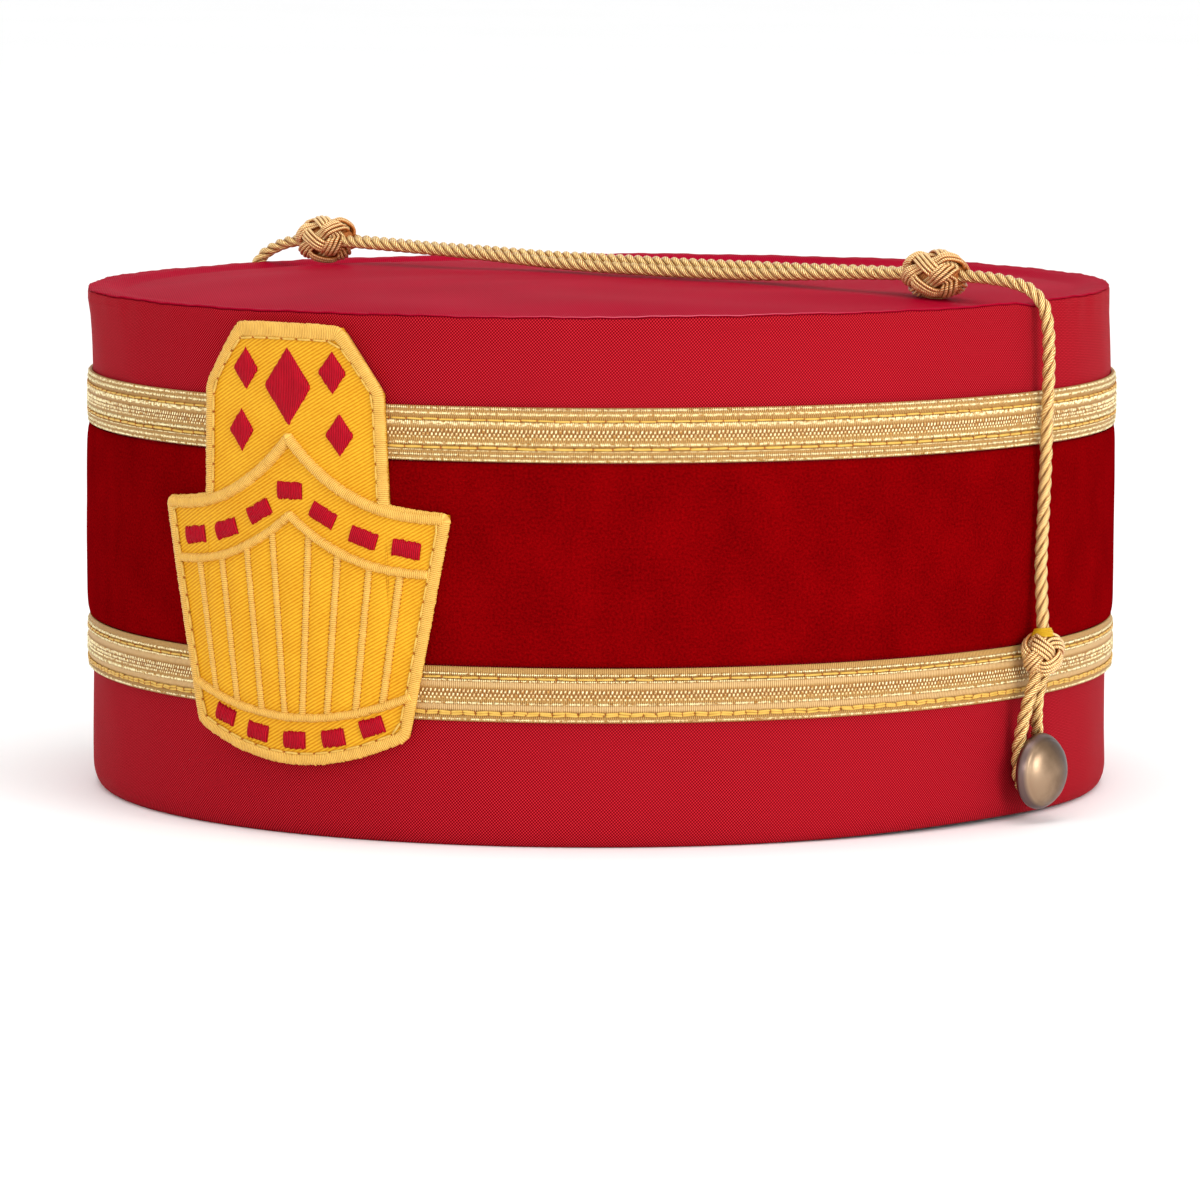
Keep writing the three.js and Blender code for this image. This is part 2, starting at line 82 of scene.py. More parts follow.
class Shape:
    """Collects points, faces and places on the cloth into one mesh."""

    def __init__(self):
        self.points, self.faces, self.uvs = [], [], []
        self.size = 0

    def add(self, points, faces, uvs):
        """Faces are rows of point numbers, and uvs has a row for each corner of each face."""
        self.faces.extend((np.asarray(faces) + self.size).tolist())
        self.points.append(points)
        self.uvs.append(uvs)
        self.size += len(points)

    def grid(self, points, uvs, caps=False):
        """A grid of points. Where uvs has one row or column more, the grid closes on itself that way."""
        rows, columns = points.shape[:2]
        i, j = np.meshgrid(*(np.arange(count - 1) for count in uvs.shape[:2]), indexing="ij")
        corners = [(i, j), (i, j + 1), (i + 1, j + 1), (i + 1, j)]
        faces = np.stack([(a % rows) * columns + b % columns for a, b in corners], axis=-1)
        places = np.stack([uvs[a, b] for a, b in corners], axis=-2)
        start = self.size
        self.add(points.reshape(-1, 3), faces.reshape(-1, 4), places.reshape(-1, 2))
        if caps:
            ring = np.arange(columns)
            self.faces.append((start + ring[::-1]).tolist())
            self.faces.append((start + (rows - 1) * columns + ring).tolist())
            self.uvs += [uvs[0, :columns][::-1], uvs[-1, :columns]]

    def piece(self, name, material, slot, *nodes, **values):
        """Makes the mesh a smooth piece in place of CAD nodes, with named values at its points."""
        mesh = bpy.data.meshes.new(name)
        mesh.from_pydata(np.concatenate(self.points).tolist(), [], self.faces)
        layer = mesh.uv_layers.new(name=CLOTH)
        layer.uv.foreach_set("vector", np.concatenate(self.uvs).astype(np.float32).ravel())
        for label, at_points in values.items():
            layer = mesh.attributes.new(label, "FLOAT", "POINT")
            layer.data.foreach_set("value", np.asarray(at_points, np.float32).ravel())
        mesh.shade_smooth()
        mesh.materials.append(material)
        piece = add_object(name, mesh)
        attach(piece, BODY)
        if nodes:
            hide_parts(*nodes)
        return piece


def skin(name, material, slot, node, points, uvs, caps=False, **values):
    """A piece that is one grid of points."""
    shape = Shape()
    shape.grid(points, uvs, caps)
    shape.piece(name, material, slot, node, **values)


def uv_grid(down, along):
    """Places on the cloth for a grid with these rows and columns."""
    return np.stack(np.meshgrid(down, along, indexing="ij"), axis=-1)


def on_wall(turn, height, off):
    """Points round the oval wall. Turn is from the front to the wearer's left, and off is off the satin."""
    turn, height, off = np.broadcast_arrays(turn, height, off)
    reach = RADIUS + off
    return np.stack([reach * np.sin(turn), CENTRE_Y - reach * OVAL * np.cos(turn), height], axis=-1)


def unit(rows):
    """Each row scaled to a length of one."""
    return rows / np.linalg.norm(rows, axis=-1, keepdims=True)


def lengths_along(points):
    """The distance along a path at each of its points."""
    steps = np.linalg.norm(np.diff(points, axis=0), axis=1)
    return np.concatenate([[0], np.cumsum(steps)])


def resampled(points, step, closed=False):
    """The path with its points an even step apart."""
    points = np.asarray(points, float)
    if closed:
        points = np.vstack([points, points[:1]])
    along = lengths_along(points)
    count = max(2, round(along[-1] / step))
    places = np.linspace(0, along[-1], count, endpoint=not closed)
    return np.stack([np.interp(places, along, column) for column in points.T], axis=1)


def smooth_route(points, step):
    """A smooth curve through the points, sampled at an even step."""
    at = lengths_along(points)
    slopes = np.gradient(points, at, axis=0)
    s = np.linspace(0, 1, ROUTE_FINENESS, endpoint=False)[:, None]
    fine = []
    for i, span in enumerate(np.diff(at)):
        fine.append(
            points[i] * (2 * s**3 - 3 * s**2 + 1) + points[i + 1] * (3 * s**2 - 2 * s**3)
            + span * (slopes[i] * (s**3 - 2 * s**2 + s) + slopes[i + 1] * (s**3 - s**2))
        )
    return resampled(np.vstack([*fine, points[-1:]]), step)


def frames_along(path):
    """The direction of a path and two directions across it, at each point, turning as little as they can."""
    ahead = unit(np.gradient(path, axis=0))
    side = np.empty_like(path)
    steep = abs(ahead[0][2]) >= 0.9
    start = np.cross(ahead[0], (0, 1, 0) if steep else (0, 0, 1))
    for i, direction in enumerate(ahead):
        start = unit(start - direction * (start @ direction))
        side[i] = start
    return ahead, side, np.cross(ahead, side)


def add_tube(shape, path, radius, sides):
    """A closed tube along a path."""
    _, side, up = frames_along(path)
    around = np.linspace(0, FULL_TURN, sides + 1)
    across = np.cos(around)[:, None] * side[:, None] + np.sin(around)[:, None] * up[:, None]
    points = (path[:, None] + radius * across)[:, :-1]
    shape.grid(points, uv_grid(lengths_along(path), around * radius), caps=True)


def bead(stations, sides, roundness):
    """A unit bead along its first axis, as points and triangles."""
    along = -np.cos(np.linspace(0, math.pi, stations + 2))[1:-1]
    girth = (1 - np.abs(along) ** roundness) ** 0.5
    around = np.linspace(0, FULL_TURN, sides, endpoint=False)
    rings = [(a, g * math.cos(t), g * math.sin(t)) for a, g in zip(along, girth) for t in around]
    points = np.array([(-1, 0, 0), *rings, (1, 0, 0)])
    last = len(points) - 1
    top = (stations - 1) * sides
    faces = []
    for k in range(sides):
        near, far = 1 + k, 1 + (k + 1) % sides
        faces.append((0, far, near))
        for row in range(stations - 1):
            a, b = near + row * sides, far + row * sides
            faces += [(a, b, b + sides), (a, b + sides, a + sides)]
        faces.append((last, near + top, far + top))
    return points, np.array(faces)


def add_beads(shape, place, template, at, size, slant=0.0):
    """Copies of a bead on cloth. place turns (along, across, off) into points; at has a row for each bead."""
    points, faces = template
    at, size = np.broadcast_arrays(np.atleast_2d(at), np.atleast_2d(size))
    slant = np.broadcast_to(slant, len(at))[:, None]
    length, width, rise = (points[None] * size[:, None] / 2).transpose(2, 0, 1)
    along = at[:, 0, None] + length * np.cos(slant) - width * np.sin(slant)
    across = at[:, 1, None] + length * np.sin(slant) + width * np.cos(slant)
    made = place(along, across, at[:, 2, None] + rise).reshape(-1, 3)
    shifts = np.arange(len(at))[:, None, None] * len(points)
    numbers = (faces[None] + shifts).reshape(-1, 3)
    places = np.stack([along, across], axis=-1).reshape(-1, 2)
    shape.add(made, numbers, places[numbers.ravel()])


# Materials

def srgb(red, green, blue):
    """A screen colour, 0 to 255, as the linear colour that shaders take."""
    shares = [value / 255 for value in (red, green, blue)]
    return (*(s / 12.92 if s <= 0.04045 else ((s + 0.055) / 1.055) ** 2.4 for s in shares), 1.0)


class Finish:
    """One procedural material. Plain values sit on the shader's own sockets."""

    def __init__(self, name, **sockets):
        self.material = bpy.data.materials.new(name)
        self.material.use_nodes = True
        self.nodes = self.material.node_tree.nodes
        self.shader = self.nodes["Principled BSDF"]
        for socket, value in sockets.items():
            self.shader.inputs[socket.replace("_", " ")].default_value = value

    def node(self, kind, inputs=(), **settings):
        made = self.nodes.new(kind)
        for name, value in settings.items():
            setattr(made, name, value)
        for socket, value in dict(inputs).items():
            if isinstance(value, bpy.types.NodeSocket):
                self.material.node_tree.links.new(value, made.inputs[socket])
            else:
                made.inputs[socket].default_value = value
        return made

    def cloth(self, turn=0.0, stretch=(1, 1, 1)):
        """Places on the cloth, turned by an angle in degrees."""
        uv = self.node("ShaderNodeUVMap", uv_map=CLOTH).outputs["UV"]
        rotation = (0, 0, math.radians(turn))
        mapping = self.node("ShaderNodeMapping", {"Vector": uv, "Rotation": rotation, "Scale": stretch})
        return mapping.outputs["Vector"]

    def ribs(self, pitch, waver, turn=0.0):
        """Even ribs across the cloth, from 0 to 1, a pitch apart."""
        scale = math.pi / 10 / pitch  # the wave node's own period is a tenth of pi
        inputs = {"Vector": self.cloth(turn), "Scale": scale, "Distortion": waver}
        return self.node("ShaderNodeTexWave", {**inputs, "Detail": 1.0, "Detail Scale": 0.4}).outputs["Fac"]

    def noise(self, size, detail=2.0, turn=0.0, stretch=(1, 1, 1)):
        inputs = {"Vector": self.cloth(turn, stretch), "Scale": 1 / size, "Detail": detail}
        return self.node("ShaderNodeTexNoise", inputs).outputs["Fac"]

    def value(self, name):
        """A value that is stored at the piece's points."""
        return self.node("ShaderNodeAttribute", attribute_name=name).outputs["Fac"]

    def math(self, operation, first, second, third=0.0):
        return self.node("ShaderNodeMath", {0: first, 1: second, 2: third}, operation=operation).outputs[0]

    def vector_math(self, operation, first, second=(0, 0, 0)):
        made = self.node("ShaderNodeVectorMath", {0: first, 1: second}, operation=operation)
        return made.outputs["Value"]

    def total(self, *terms):
        """The sum of factors, each with its weight."""
        whole = 0.0
        for factor, weight in terms:
            whole = self.math("MULTIPLY_ADD", factor, weight, whole)
        return whole

    def ramp(self, factor, *stops):
        """A colour from places and screen colours, in rising order."""
        made = self.node("ShaderNodeValToRGB", {"Fac": factor})
        elements = made.color_ramp.elements
        while len(elements) < len(stops):
            elements.new(1.0)
        for element, (place, colour) in zip(elements, stops):
            element.position = place
            element.color = srgb(*colour)
        return made.outputs["Color"]

    def blend(self, factor, low, high, start=0.0, end=1.0):
        """A colour that goes from low to high as the factor goes from start to end."""
        return self.ramp(factor, (start, low), (end, high))

    def mask(self, factor, start, end):
        return self.blend(factor, (0, 0, 0), (255, 255, 255), start, end)

    def mix(self, factor, first, second):
        return self.node("ShaderNodeMix", {0: factor, 6: first, 7: second}, data_type="RGBA").outputs[2]

    def drive(self, socket, value):
        self.material.node_tree.links.new(value, self.shader.inputs[socket])

    def made(self, colour, height=None, depth=0.0, strength=1.0):
        """The material, once it has its colour and its bump."""
        self.drive("Base Color", colour)
        if height:
            inputs = {"Height": height, "Distance": depth, "Strength": strength}
            self.drive("Normal", self.node("ShaderNodeBump", inputs).outputs["Normal"])
        return self.material


def satin(name, low, high, weave_share, gloss, fold=None):
    """Red satin. weave_share is how much of its shading is the weave's, and the last colour, if given, paints
    a pale highlight along a fold.
    """
    finish = Finish(name, Roughness=0.5, Specular_IOR_Level=gloss)
    warp, weft = finish.ribs(0.39 * MM, 0.3, -40), finish.ribs(0.385 * MM, 0.3, 47)
    weave = finish.math("POWER", finish.total((warp, 0.5), (weft, 0.5)), 1.6)
    cloud = finish.math("MULTIPLY_ADD", finish.noise(30 * MM), 0.2, 0.4)
    shade = finish.total((weave, weave_share), (cloud, 1 - weave_share))
    colour = finish.blend(shade, low, high, 0.25, 0.75)
    # A pale colour painted along a fold as a highlight, where the piece's value says so.
    if fold:
        colour = finish.mix(finish.value("fold"), colour, srgb(*fold))
    return finish.made(colour, weave, 0.05 * MM, 0.7 * weave_share)


def velvet():
    finish = Finish("red_velvet", Roughness=0.9, Sheen_Weight=0.08, Sheen_Roughness=0.3,
                    Sheen_Tint=srgb(220, 20, 40), Specular_IOR_Level=0.0)
    pile = finish.noise(0.45 * MM, 3.0)
    nap = finish.noise(8 * MM, 4.0, 12, (1, 0.7, 1))
    shade = finish.total((pile, 0.68), (nap, 0.32))
    return finish.made(finish.blend(shade, (86, 0, 2), (129, 2, 5), 0.3, 0.7), pile, 0.25 * MM, 0.8)


def lace_ground():
    """The lace's cloth. Its tone is 0 where it is brown, a half where it is tan and 1 where it is pale."""
    finish = Finish("lace_ground", Roughness=0.5, Specular_IOR_Level=0.15)
    tone = finish.value("tone")
    threads = finish.ribs(WOVEN, 0.4)
    shade = finish.math("MULTIPLY", threads, finish.math("ADD", finish.noise(0.5 * MM), 0.45))
    valley = finish.ramp(tone, (0, (104, 60, 20)), (0.5, (130, 88, 36)), (1, (162, 120, 70)))
    crest = finish.ramp(tone, (0, (164, 114, 58)), (0.5, (198, 156, 92)), (1, (222, 188, 132)))
    return finish.made(finish.mix(shade, valley, crest), threads, 0.08 * MM, 0.7)


def metal_thread():
    finish = Finish("metal_thread", Metallic=0.7, Roughness=0.34)
    # Random beads are pale and the rest tan: tone that varies at random, with the pale beads also standing in
    # as painted glints.
    return finish.made(finish.blend(finish.noise(0.6 * MM, 1.0), (186, 136, 66), (255, 244, 194), 0.34, 0.56))


def satin_stitch(name, low, high, gloss):
    """Embroidery thread, laid side by side across a bar."""
    finish = Finish(name, Roughness=0.42, Specular_IOR_Level=gloss)
    threads = finish.ribs(THREAD, 0.8)
    fibres = finish.noise(0.09 * MM, stretch=(1, 0.12, 1))
    shade = finish.total((threads, 0.4), (fibres, 0.4), (finish.noise(2.5 * MM), 0.3))
    return finish.made(finish.blend(shade, low, high, 0.2, 0.85), threads, 0.06 * MM, 0.7)


def thread(name, low, high):
    """A plain sewing thread with its own fine twist."""
    finish = Finish(name, Roughness=0.45, Specular_IOR_Level=0.15)
    twist = finish.ribs(0.12 * MM, 0.3, 25)
    shade = finish.total((twist, 0.4), (finish.noise(1.6 * MM, 3.0), 0.6))
    return finish.made(finish.blend(shade, low, high, 0.2, 0.75), twist, 0.03 * MM, 0.5)


def twill():
    finish = Finish("yellow_twill", Roughness=0.6, Specular_IOR_Level=0.1)
    rib = finish.ribs(0.56 * MM, 0.5, 60)
    fine = finish.noise(0.35 * MM, turn=-30, stretch=(0.35, 1, 1))
    shade = finish.total((rib, 0.45), (fine, 0.35), (finish.noise(8 * MM), 0.25))
    return finish.made(finish.blend(shade, (186, 110, 0), (234, 182, 44), 0.15, 0.9), rib, 0.1 * MM, 0.5)


def gold_cord(name, low, high, turn, painted_groove_shade):
    """Metallic cord: yarns at an angle across a ply or strand, random bright patches that partly stand in as
    painted glints, and painted shade in the grooves between.
    """
    finish = Finish(name, Metallic=0.5, Roughness=0.27)
    yarn = finish.ribs(0.36 * MM, 0.6, turn)
    # Brightness that varies at random along the yarns, its bright patches partly painted glints.
    shade = finish.total((yarn, 0.5), (finish.noise(0.6 * MM, 3.0), 0.5))
    colour = finish.blend(shade, low, high, 0.3, 0.64)
    # Where crest is low, in the grooves between plies and at the sides and core of a knot, painted shade is
    # mixed in.
    colour = finish.mix(finish.mask(finish.value("crest"), 0.5, 0.84), srgb(*painted_groove_shade), colour)
    return finish.made(colour, yarn, 0.1 * MM, 0.9)


def antique_brass():
    """Brass with random stains, painted shade that darkens it towards its rim and to one side, and a painted
    highlight on the rim.
    """
    reach = 8 * MM  # from the crown to the rim, over the dome
    finish = Finish("antique_brass", Metallic=1.0)
    out_from_crown = finish.math("DIVIDE", finish.vector_math("LENGTH", finish.cloth()), reach)
    painted_shade_side = finish.vector_math("DOT_PRODUCT", finish.cloth(), (0.9, 0.25, 0))
    stain = finish.noise(2.4 * MM, 5.0)
    # Random stains, and painted shade that darkens the brass towards the rim and to one side.
    shade = finish.total((stain, 0.25), (out_from_crown, 0.25), (painted_shade_side, 0.6 / reach))
    stain_and_painted_shade = [(0.0, (164, 138, 112)), (0.2, (124, 100, 78)), (0.45, (82, 64, 54)), (0.75, (54, 42, 40))]
    # The rim is painted a lighter, pinkish colour as a highlight.
    colour = finish.mix(finish.mask(out_from_crown, 0.79, 0.89), finish.ramp(shade, *stain_and_painted_shade), srgb(112, 93, 89))
    finish.drive("Roughness", finish.math("MULTIPLY_ADD", stain, 0.16, 0.28))
    return finish.made(colour, finish.noise(0.8 * MM), 0.02 * MM, 0.3)


def backdrop():
    finish = Finish("pale_floor", Roughness=0.7)
    place = finish.node("ShaderNodeTexCoord").outputs["Object"]
    mottle = finish.node("ShaderNodeTexNoise", {"Vector": place, "Scale": 2.5}).outputs["Fac"]
    return finish.made(finish.blend(mottle, (250, 250, 250), (254, 254, 254)))


SATIN = satin("red_satin", (98, 0, 0), (209, 40, 57), 0.85, 0.004)
# The top's satin is the wall's cloth given bluer, less green colours as painted sheen for the light that
# grazes the top; its last colour is a painted highlight along a fold.
SATIN_TOP_PAINTED_SHEEN = satin("red_satin_top_painted_sheen", (102, 0, 10), (196, 12, 54), 0.3, 0.003, (210, 116, 130))
VELVET = velvet()
LACE_GROUND = lace_ground()
METAL_THREAD = metal_thread()
TWILL = twill()
# The last colour of each is painted shade for the grooves between plies and strands.
GOLD_CORD = gold_cord("gold_cord", (176, 96, 22), (255, 232, 158), 58, (146, 72, 8))
GOLD_STRAND = gold_cord("gold_strand", (214, 138, 70), (255, 235, 170), 20, (180, 106, 44))
BRASS = antique_brass()
YELLOW_STITCH = thread("yellow_stitch", (188, 142, 50), (232, 192, 100))
# Dark beads at needle holes: painted shade in the holes.
NEEDLE_HOLE_SHADE = thread("needle_hole_shade", (130, 58, 14), (186, 106, 30))
GOLD_STITCH = satin_stitch("gold_stitch", (170, 116, 34), (240, 192, 94), 0.2)
RED_STITCH = satin_stitch("red_stitch", (98, 0, 10), (190, 4, 34), 0.08)
YELLOW_WRAP = thread("yellow_wrap", (170, 124, 6), (214, 170, 30))


# Camera, floor and light

CAMERA_AZIMUTH = 32.94
CAMERA_ELEVATION = 5.6
CAMERA_ROLL = 0.35
CAMERA_DISTANCE = 1.3
CAMERA_LENS = 209.0
AIM_HEIGHT = 46.1 * MM  # middle of the cap
AIM_DROP = 12.9 * MM  # the photo's middle is this far below it
AIM_LEFT = 0.4 * MM
FLOOR_REACH = 30.0
SKY = 1.02
SOFTBOXES = table(
    "name place size power",
    ("key", (1.8, -0.5, 0.6), 1.0, 18),
    ("front", (0.9, -1.7, 0.5), 0.55, 5),
    ("overhead", (0.2, -0.2, 1.8), 1.2, 9),
)


def stand(made, place, target, roll=0.0):
    """Puts a camera or lamp at a place, turned to a target."""
    made.location = place
    made.rotation_mode = "QUATERNION"
    turned = (target - Vector(place)).to_track_quat("-Z", "Y")
    made.rotation_quaternion = turned @ Quaternion((0, 0, 1), math.radians(roll))


def add_camera():
    azimuth, elevation = math.radians(CAMERA_AZIMUTH), math.radians(CAMERA_ELEVATION)
    level = math.cos(elevation)
    back = Vector((math.sin(azimuth) * level, -math.cos(azimuth) * level, math.sin(elevation)))
    middle = Vector((0, CENTRE_Y, AIM_HEIGHT))
    target = middle + back.to_track_quat("Z", "Y") @ Vector((-AIM_LEFT, -AIM_DROP, 0))
    camera = add_object("camera", bpy.data.cameras.new("camera"))
    camera.data.lens = CAMERA_LENS
    camera.data.clip_end = 100
    stand(camera, middle + back * CAMERA_DISTANCE, target, CAMERA_ROLL)
    bpy.context.scene.camera = camera


def add_floor():
    mesh = bpy.data.meshes.new("floor")
    corners = [(x * FLOOR_REACH, y * FLOOR_REACH, 0) for x, y in ((-1, -1), (1, -1), (1, 1), (-1, 1))]
    mesh.from_pydata(corners, [], [(0, 1, 2, 3)])
    mesh.materials.append(backdrop())
    add_object("floor", mesh)


def add_lights():
    for row in SOFTBOXES:
        light = bpy.data.lights.new(row["name"], "AREA")
        light.size = row["size"]
        light.energy = row["power"]
        stand(add_object(row["name"], light), row["place"], Vector((0, 0, AIM_HEIGHT)))
    world = bpy.data.worlds.new("studio")
    world.use_nodes = True
    sky = world.node_tree.nodes["Background"].inputs
    sky["Color"].default_value = (1, 1, 1, 1)
    sky["Strength"].default_value = SKY
    bpy.context.scene.world = world
    bpy.context.scene.view_settings.view_transform = "Standard"


add_camera()
add_floor()
add_lights()


# Cord and knots

CORD = 2.4 * MM
CORD_STEP = 0.4 * MM
PLIES = 3
PLY_RADIUS = 0.56 * MM
PLY_REACH = CORD / 2 - PLY_RADIUS  # of a ply's middle from the cord's
PLY_SIDES = 12
LAY = 6.6 * MM  # length of one full twist where the cord lies
LAY_HUNG = 7.9 * MM  # and where it hangs and has opened a little

# Routes, in millimetres from the middle of the cap's oval. The main cord starts in the left side knot.
RISE_LEFT = [
    (97.7, -6.0, 30.3), (97.6, -5.9, 34.4), (97.0, -5.3, 39.0), (96.2, -4.4, 45.5), (96.0, -3.6, 53.0),
    (96.0, -3.0, 61.0), (96.0, -2.6, 69.0), (96.0, -2.2, 77.0), (95.9, -2.0, 84.0), (95.6, -2.0, 88.6),
    (94.6, -2.1, 92.4), (92.2, -2.0, 94.7), (88.4, -1.6, 95.9), (83.4, -1.1, 96.5), (76.9, -0.4, 96.7),
]
SPAN_FRONT = [
    (65.1, -0.3, 96.6), (56.0, 0.8, 96.3), (45.0, 2.1, 95.7), (31.0, 3.9, 95.0), (17.0, 5.6, 94.75),
    (3.0, 7.3, 94.75), (-9.0, 8.7, 94.85), (-21.0, 10.1, 95.2), (-35.0, 11.8, 95.9), (-50.0, 13.6, 96.4),
    (-69.8, 15.8, 97.0),
]
SPAN_BACK_LIFT = [0, 0.2, 0.6, 1.15, 1.25, 1.25, 1.2, 0.8, 0.4, 0.1, 0]
STRAND_SPACING = 2.7  # millimetres, between the front and back strands over the top
RISE_RIGHT = [
    (-81.6, 18.6, 96.7), (-85.6, 19.1, 96.1), (-89.3, 19.6, 94.9), (-92.4, 20.0, 93.2), (-94.3, 19.8, 90.4),
    (-94.5, 19.0, 84.0), (-94.8, 17.0, 76.0), (-95.1, 14.2, 67.0), (-95.4, 10.6, 57.0), (-95.8, 6.2, 48.0),
    (-96.4, 1.2, 41.0), (-97.4, -4.2, 34.9), (-97.7, -6.0, 30.3),
]
KNOT_TOP_LEFT = (71.0, 0.3, 96.7)
KNOT_TOP_RIGHT = (-75.7, 17.9, 97.1)
BUTTON_Y = -6.0
BUTTON_Z = 9.2
LOOP_RADIUS = 3.3
LOOP_X = 94.8
LOOP_FRONT = [
    (97.6, -7.2, 29.0), (97.5, -8.2, 26.2), (97.0, -9.2, 23.0), (95.9, -9.9, 17.5), (95.0, -9.8, 12.6),
]
LOOP_BACK = [
    (95.0, -2.4, 12.6), (95.9, -4.8, 17.5), (97.0, -6.2, 23.0), (97.5, -5.5, 26.2), (97.6, -5.0, 29.0),
]


def in_row_frame(points):
    return np.asarray(points, float) * MM + (0, CENTRE_Y, 0)


def add_cord(name, route, nodes):
    """A cord of twisted plies along a route."""
    path = smooth_route(in_row_frame(route), CORD_STEP)
    along = lengths_along(path)
    ahead, side, up = frames_along(path)
    lay = LAY + (LAY_HUNG - LAY) * np.abs(ahead[:, 2])
    twists = np.cumsum(np.gradient(along) / lay)
    shape = Shape()
    for ply in range(PLIES):
        turn = (FULL_TURN * (twists + ply / PLIES))[:, None]
        middle = path + PLY_REACH * (np.cos(turn) * side + np.sin(turn) * up)
        add_tube(shape, middle, PLY_RADIUS, PLY_SIDES)
    # crest is how far out from the cord's middle each point lies; the cord's finish paints shade where it is
    # low.
    from_middle = np.array(shape.points).reshape(PLIES, len(path), PLY_SIDES, 3) - path[:, None]
    crest = np.linalg.norm(from_middle, axis=-1) / (CORD / 2)
    cord = shape.piece(name, GOLD_CORD, "cord", *nodes, crest=crest)


# Woven knots: leads is how many times a strand goes round, bights how often it turns at each end
KNOT_STRANDS = 4
STRAND_RADIUS = 0.34 * MM
STRAND_SPACING_SHARE = 2.1  # between neighbours, in strand radii
STRAND_SIDES = 8
STRAND_STEP = 0.35 * MM
TOP_KNOT = {"length": 12.4 * MM, "width": 9.2 * MM, "height": 9.2 * MM, "leads": 4, "bights": 5}
SIDE_KNOT = {"length": 7.6 * MM, "width": 9.8 * MM, "height": 7.2 * MM, "leads": 3, "bights": 4}
KNOT_TAPER = 0.5  # how much narrower a knot is at its ends
TAPER_POWER = 2.6
KNOT_FINENESS = 1801  # points along a strand before it is sampled evenly
WEAVE_DEPTH = 1.4 * STRAND_RADIUS
WEAVE_CRISPNESS = 2.2
BUNDLE_ROUND = 0.25  # how much lower the outer strands of a bundle lie
CORE_DEPTH = 3.4 * STRAND_RADIUS
CORE_REACH = 0.94  # of the knot's length
COLLAR_TURNS = 4
COLLAR_HEIGHT = 1.5 * MM
COLLAR_RADIUS = 1.35 * MM
COLLAR_FLARE = 0.5
COLLAR_WIRE = 0.28 * MM
COLLAR_SUNK = 0.9 * MM  # into the knot


def add_knot(name, middle, along, up, size):
    """A knot of parallel strands woven over and under each other round a core."""
    along = Vector(along).normalized()
    across = Vector(up).cross(along).normalized()
    axes = np.array([along, across, along.cross(across)])
    half = np.array([size["length"], size["width"], size["height"]]) / 2
    girth = half[1:] - STRAND_RADIUS

    def swell(axial):
        return 1 - KNOT_TAPER * np.clip(np.abs(axial / half[0]), 0, 1) ** TAPER_POWER

    def place(axial, around, lift):
        wide, tall = (reach * swell(axial) + lift for reach in girth)
        local = np.broadcast_arrays(axial, wide * np.cos(around), tall * np.sin(around))
        return np.stack(local, axis=-1) @ axes + middle

    def facing(points, ring):
        """How far a strand's points look away from the knot's middle line, from 0 to 1; the finish paints
        shade where it is low.
        """
        out = unit((ring - middle) @ axes[1:].T @ axes[1:])
        from_ring = points.reshape(len(ring), -1, 3) - ring[:, None]
        return 0.5 + (from_ring * out[:, None]).sum(axis=-1).ravel() / (2 * STRAND_RADIUS)

    t = np.linspace(0, FULL_TURN, KNOT_FINENESS)
    swing, around = size["bights"] * t, size["leads"] * t
    axial = (half[0] - STRAND_RADIUS * KNOT_STRANDS) * np.cos(swing)
    weave = np.tanh(WEAVE_CRISPNESS * np.sin((size["leads"] - 1) * swing)) * WEAVE_DEPTH
    local = girth.mean() * swell(axial)
    ahead = unit(np.stack([np.gradient(axial), np.gradient(around) * local], axis=1))
    shape = Shape()
    crests = []
    for strand in range(KNOT_STRANDS):
        from_middle = strand - (KNOT_STRANDS - 1) / 2
        shift = from_middle * STRAND_SPACING_SHARE * STRAND_RADIUS
        lift = weave - STRAND_RADIUS * (1 + BUNDLE_ROUND * from_middle**2)
        route = place(axial - ahead[:, 1] * shift, around + ahead[:, 0] * shift / local, lift)
        path = resampled(route[:-1], STRAND_STEP, closed=True)
        ring = np.vstack([path, path[:2]])
        add_tube(shape, ring, STRAND_RADIUS, STRAND_SIDES)
        crests.append(facing(shape.points[-1], ring))
    core_axial = np.linspace(-CORE_REACH, CORE_REACH, 15) * half[0]
    core_around = np.linspace(0, FULL_TURN, 33)
    core = place(core_axial[:, None], core_around[:-1], -CORE_DEPTH)
    shape.grid(core, uv_grid(core_axial, core_around * girth[0]), caps=True)
    # The core gets a middling crest, so it is painted with the grooves' shade.
    crests.append(np.full(len(shape.points[-1]), 0.5))
    return shape.piece(f"{name}_weave", GOLD_STRAND, "cord", name, crest=np.concatenate(crests))


def add_collar(name, middle, along):
    """Turns of yellow thread that bind the cord where it enters a side knot."""
    along = Vector(along).normalized()
    side = along.orthogonal().normalized()
    share = np.linspace(0, 1, COLLAR_TURNS * 20)[:, None]
    t = FULL_TURN * COLLAR_TURNS * share
    out = np.cos(t) * np.asarray(side) + np.sin(t) * np.asarray(along.cross(side))
    reach = COLLAR_RADIUS * (1 + COLLAR_FLARE * (1 - share))
    shape = Shape()
    add_tube(shape, middle + COLLAR_HEIGHT * share * np.asarray(along) + reach * out, COLLAR_WIRE, 6)
    return shape.piece(name, YELLOW_WRAP, "cord")


def loop_route():
    """Down the front of the shank, round under it and up behind."""
    turn = np.linspace(0, math.pi, 9)
    y, z = BUTTON_Y - LOOP_RADIUS * np.cos(turn), BUTTON_Z - LOOP_RADIUS * np.sin(turn)
    return np.vstack([LOOP_FRONT, np.column_stack([np.full(9, LOOP_X), y, z]), LOOP_BACK])


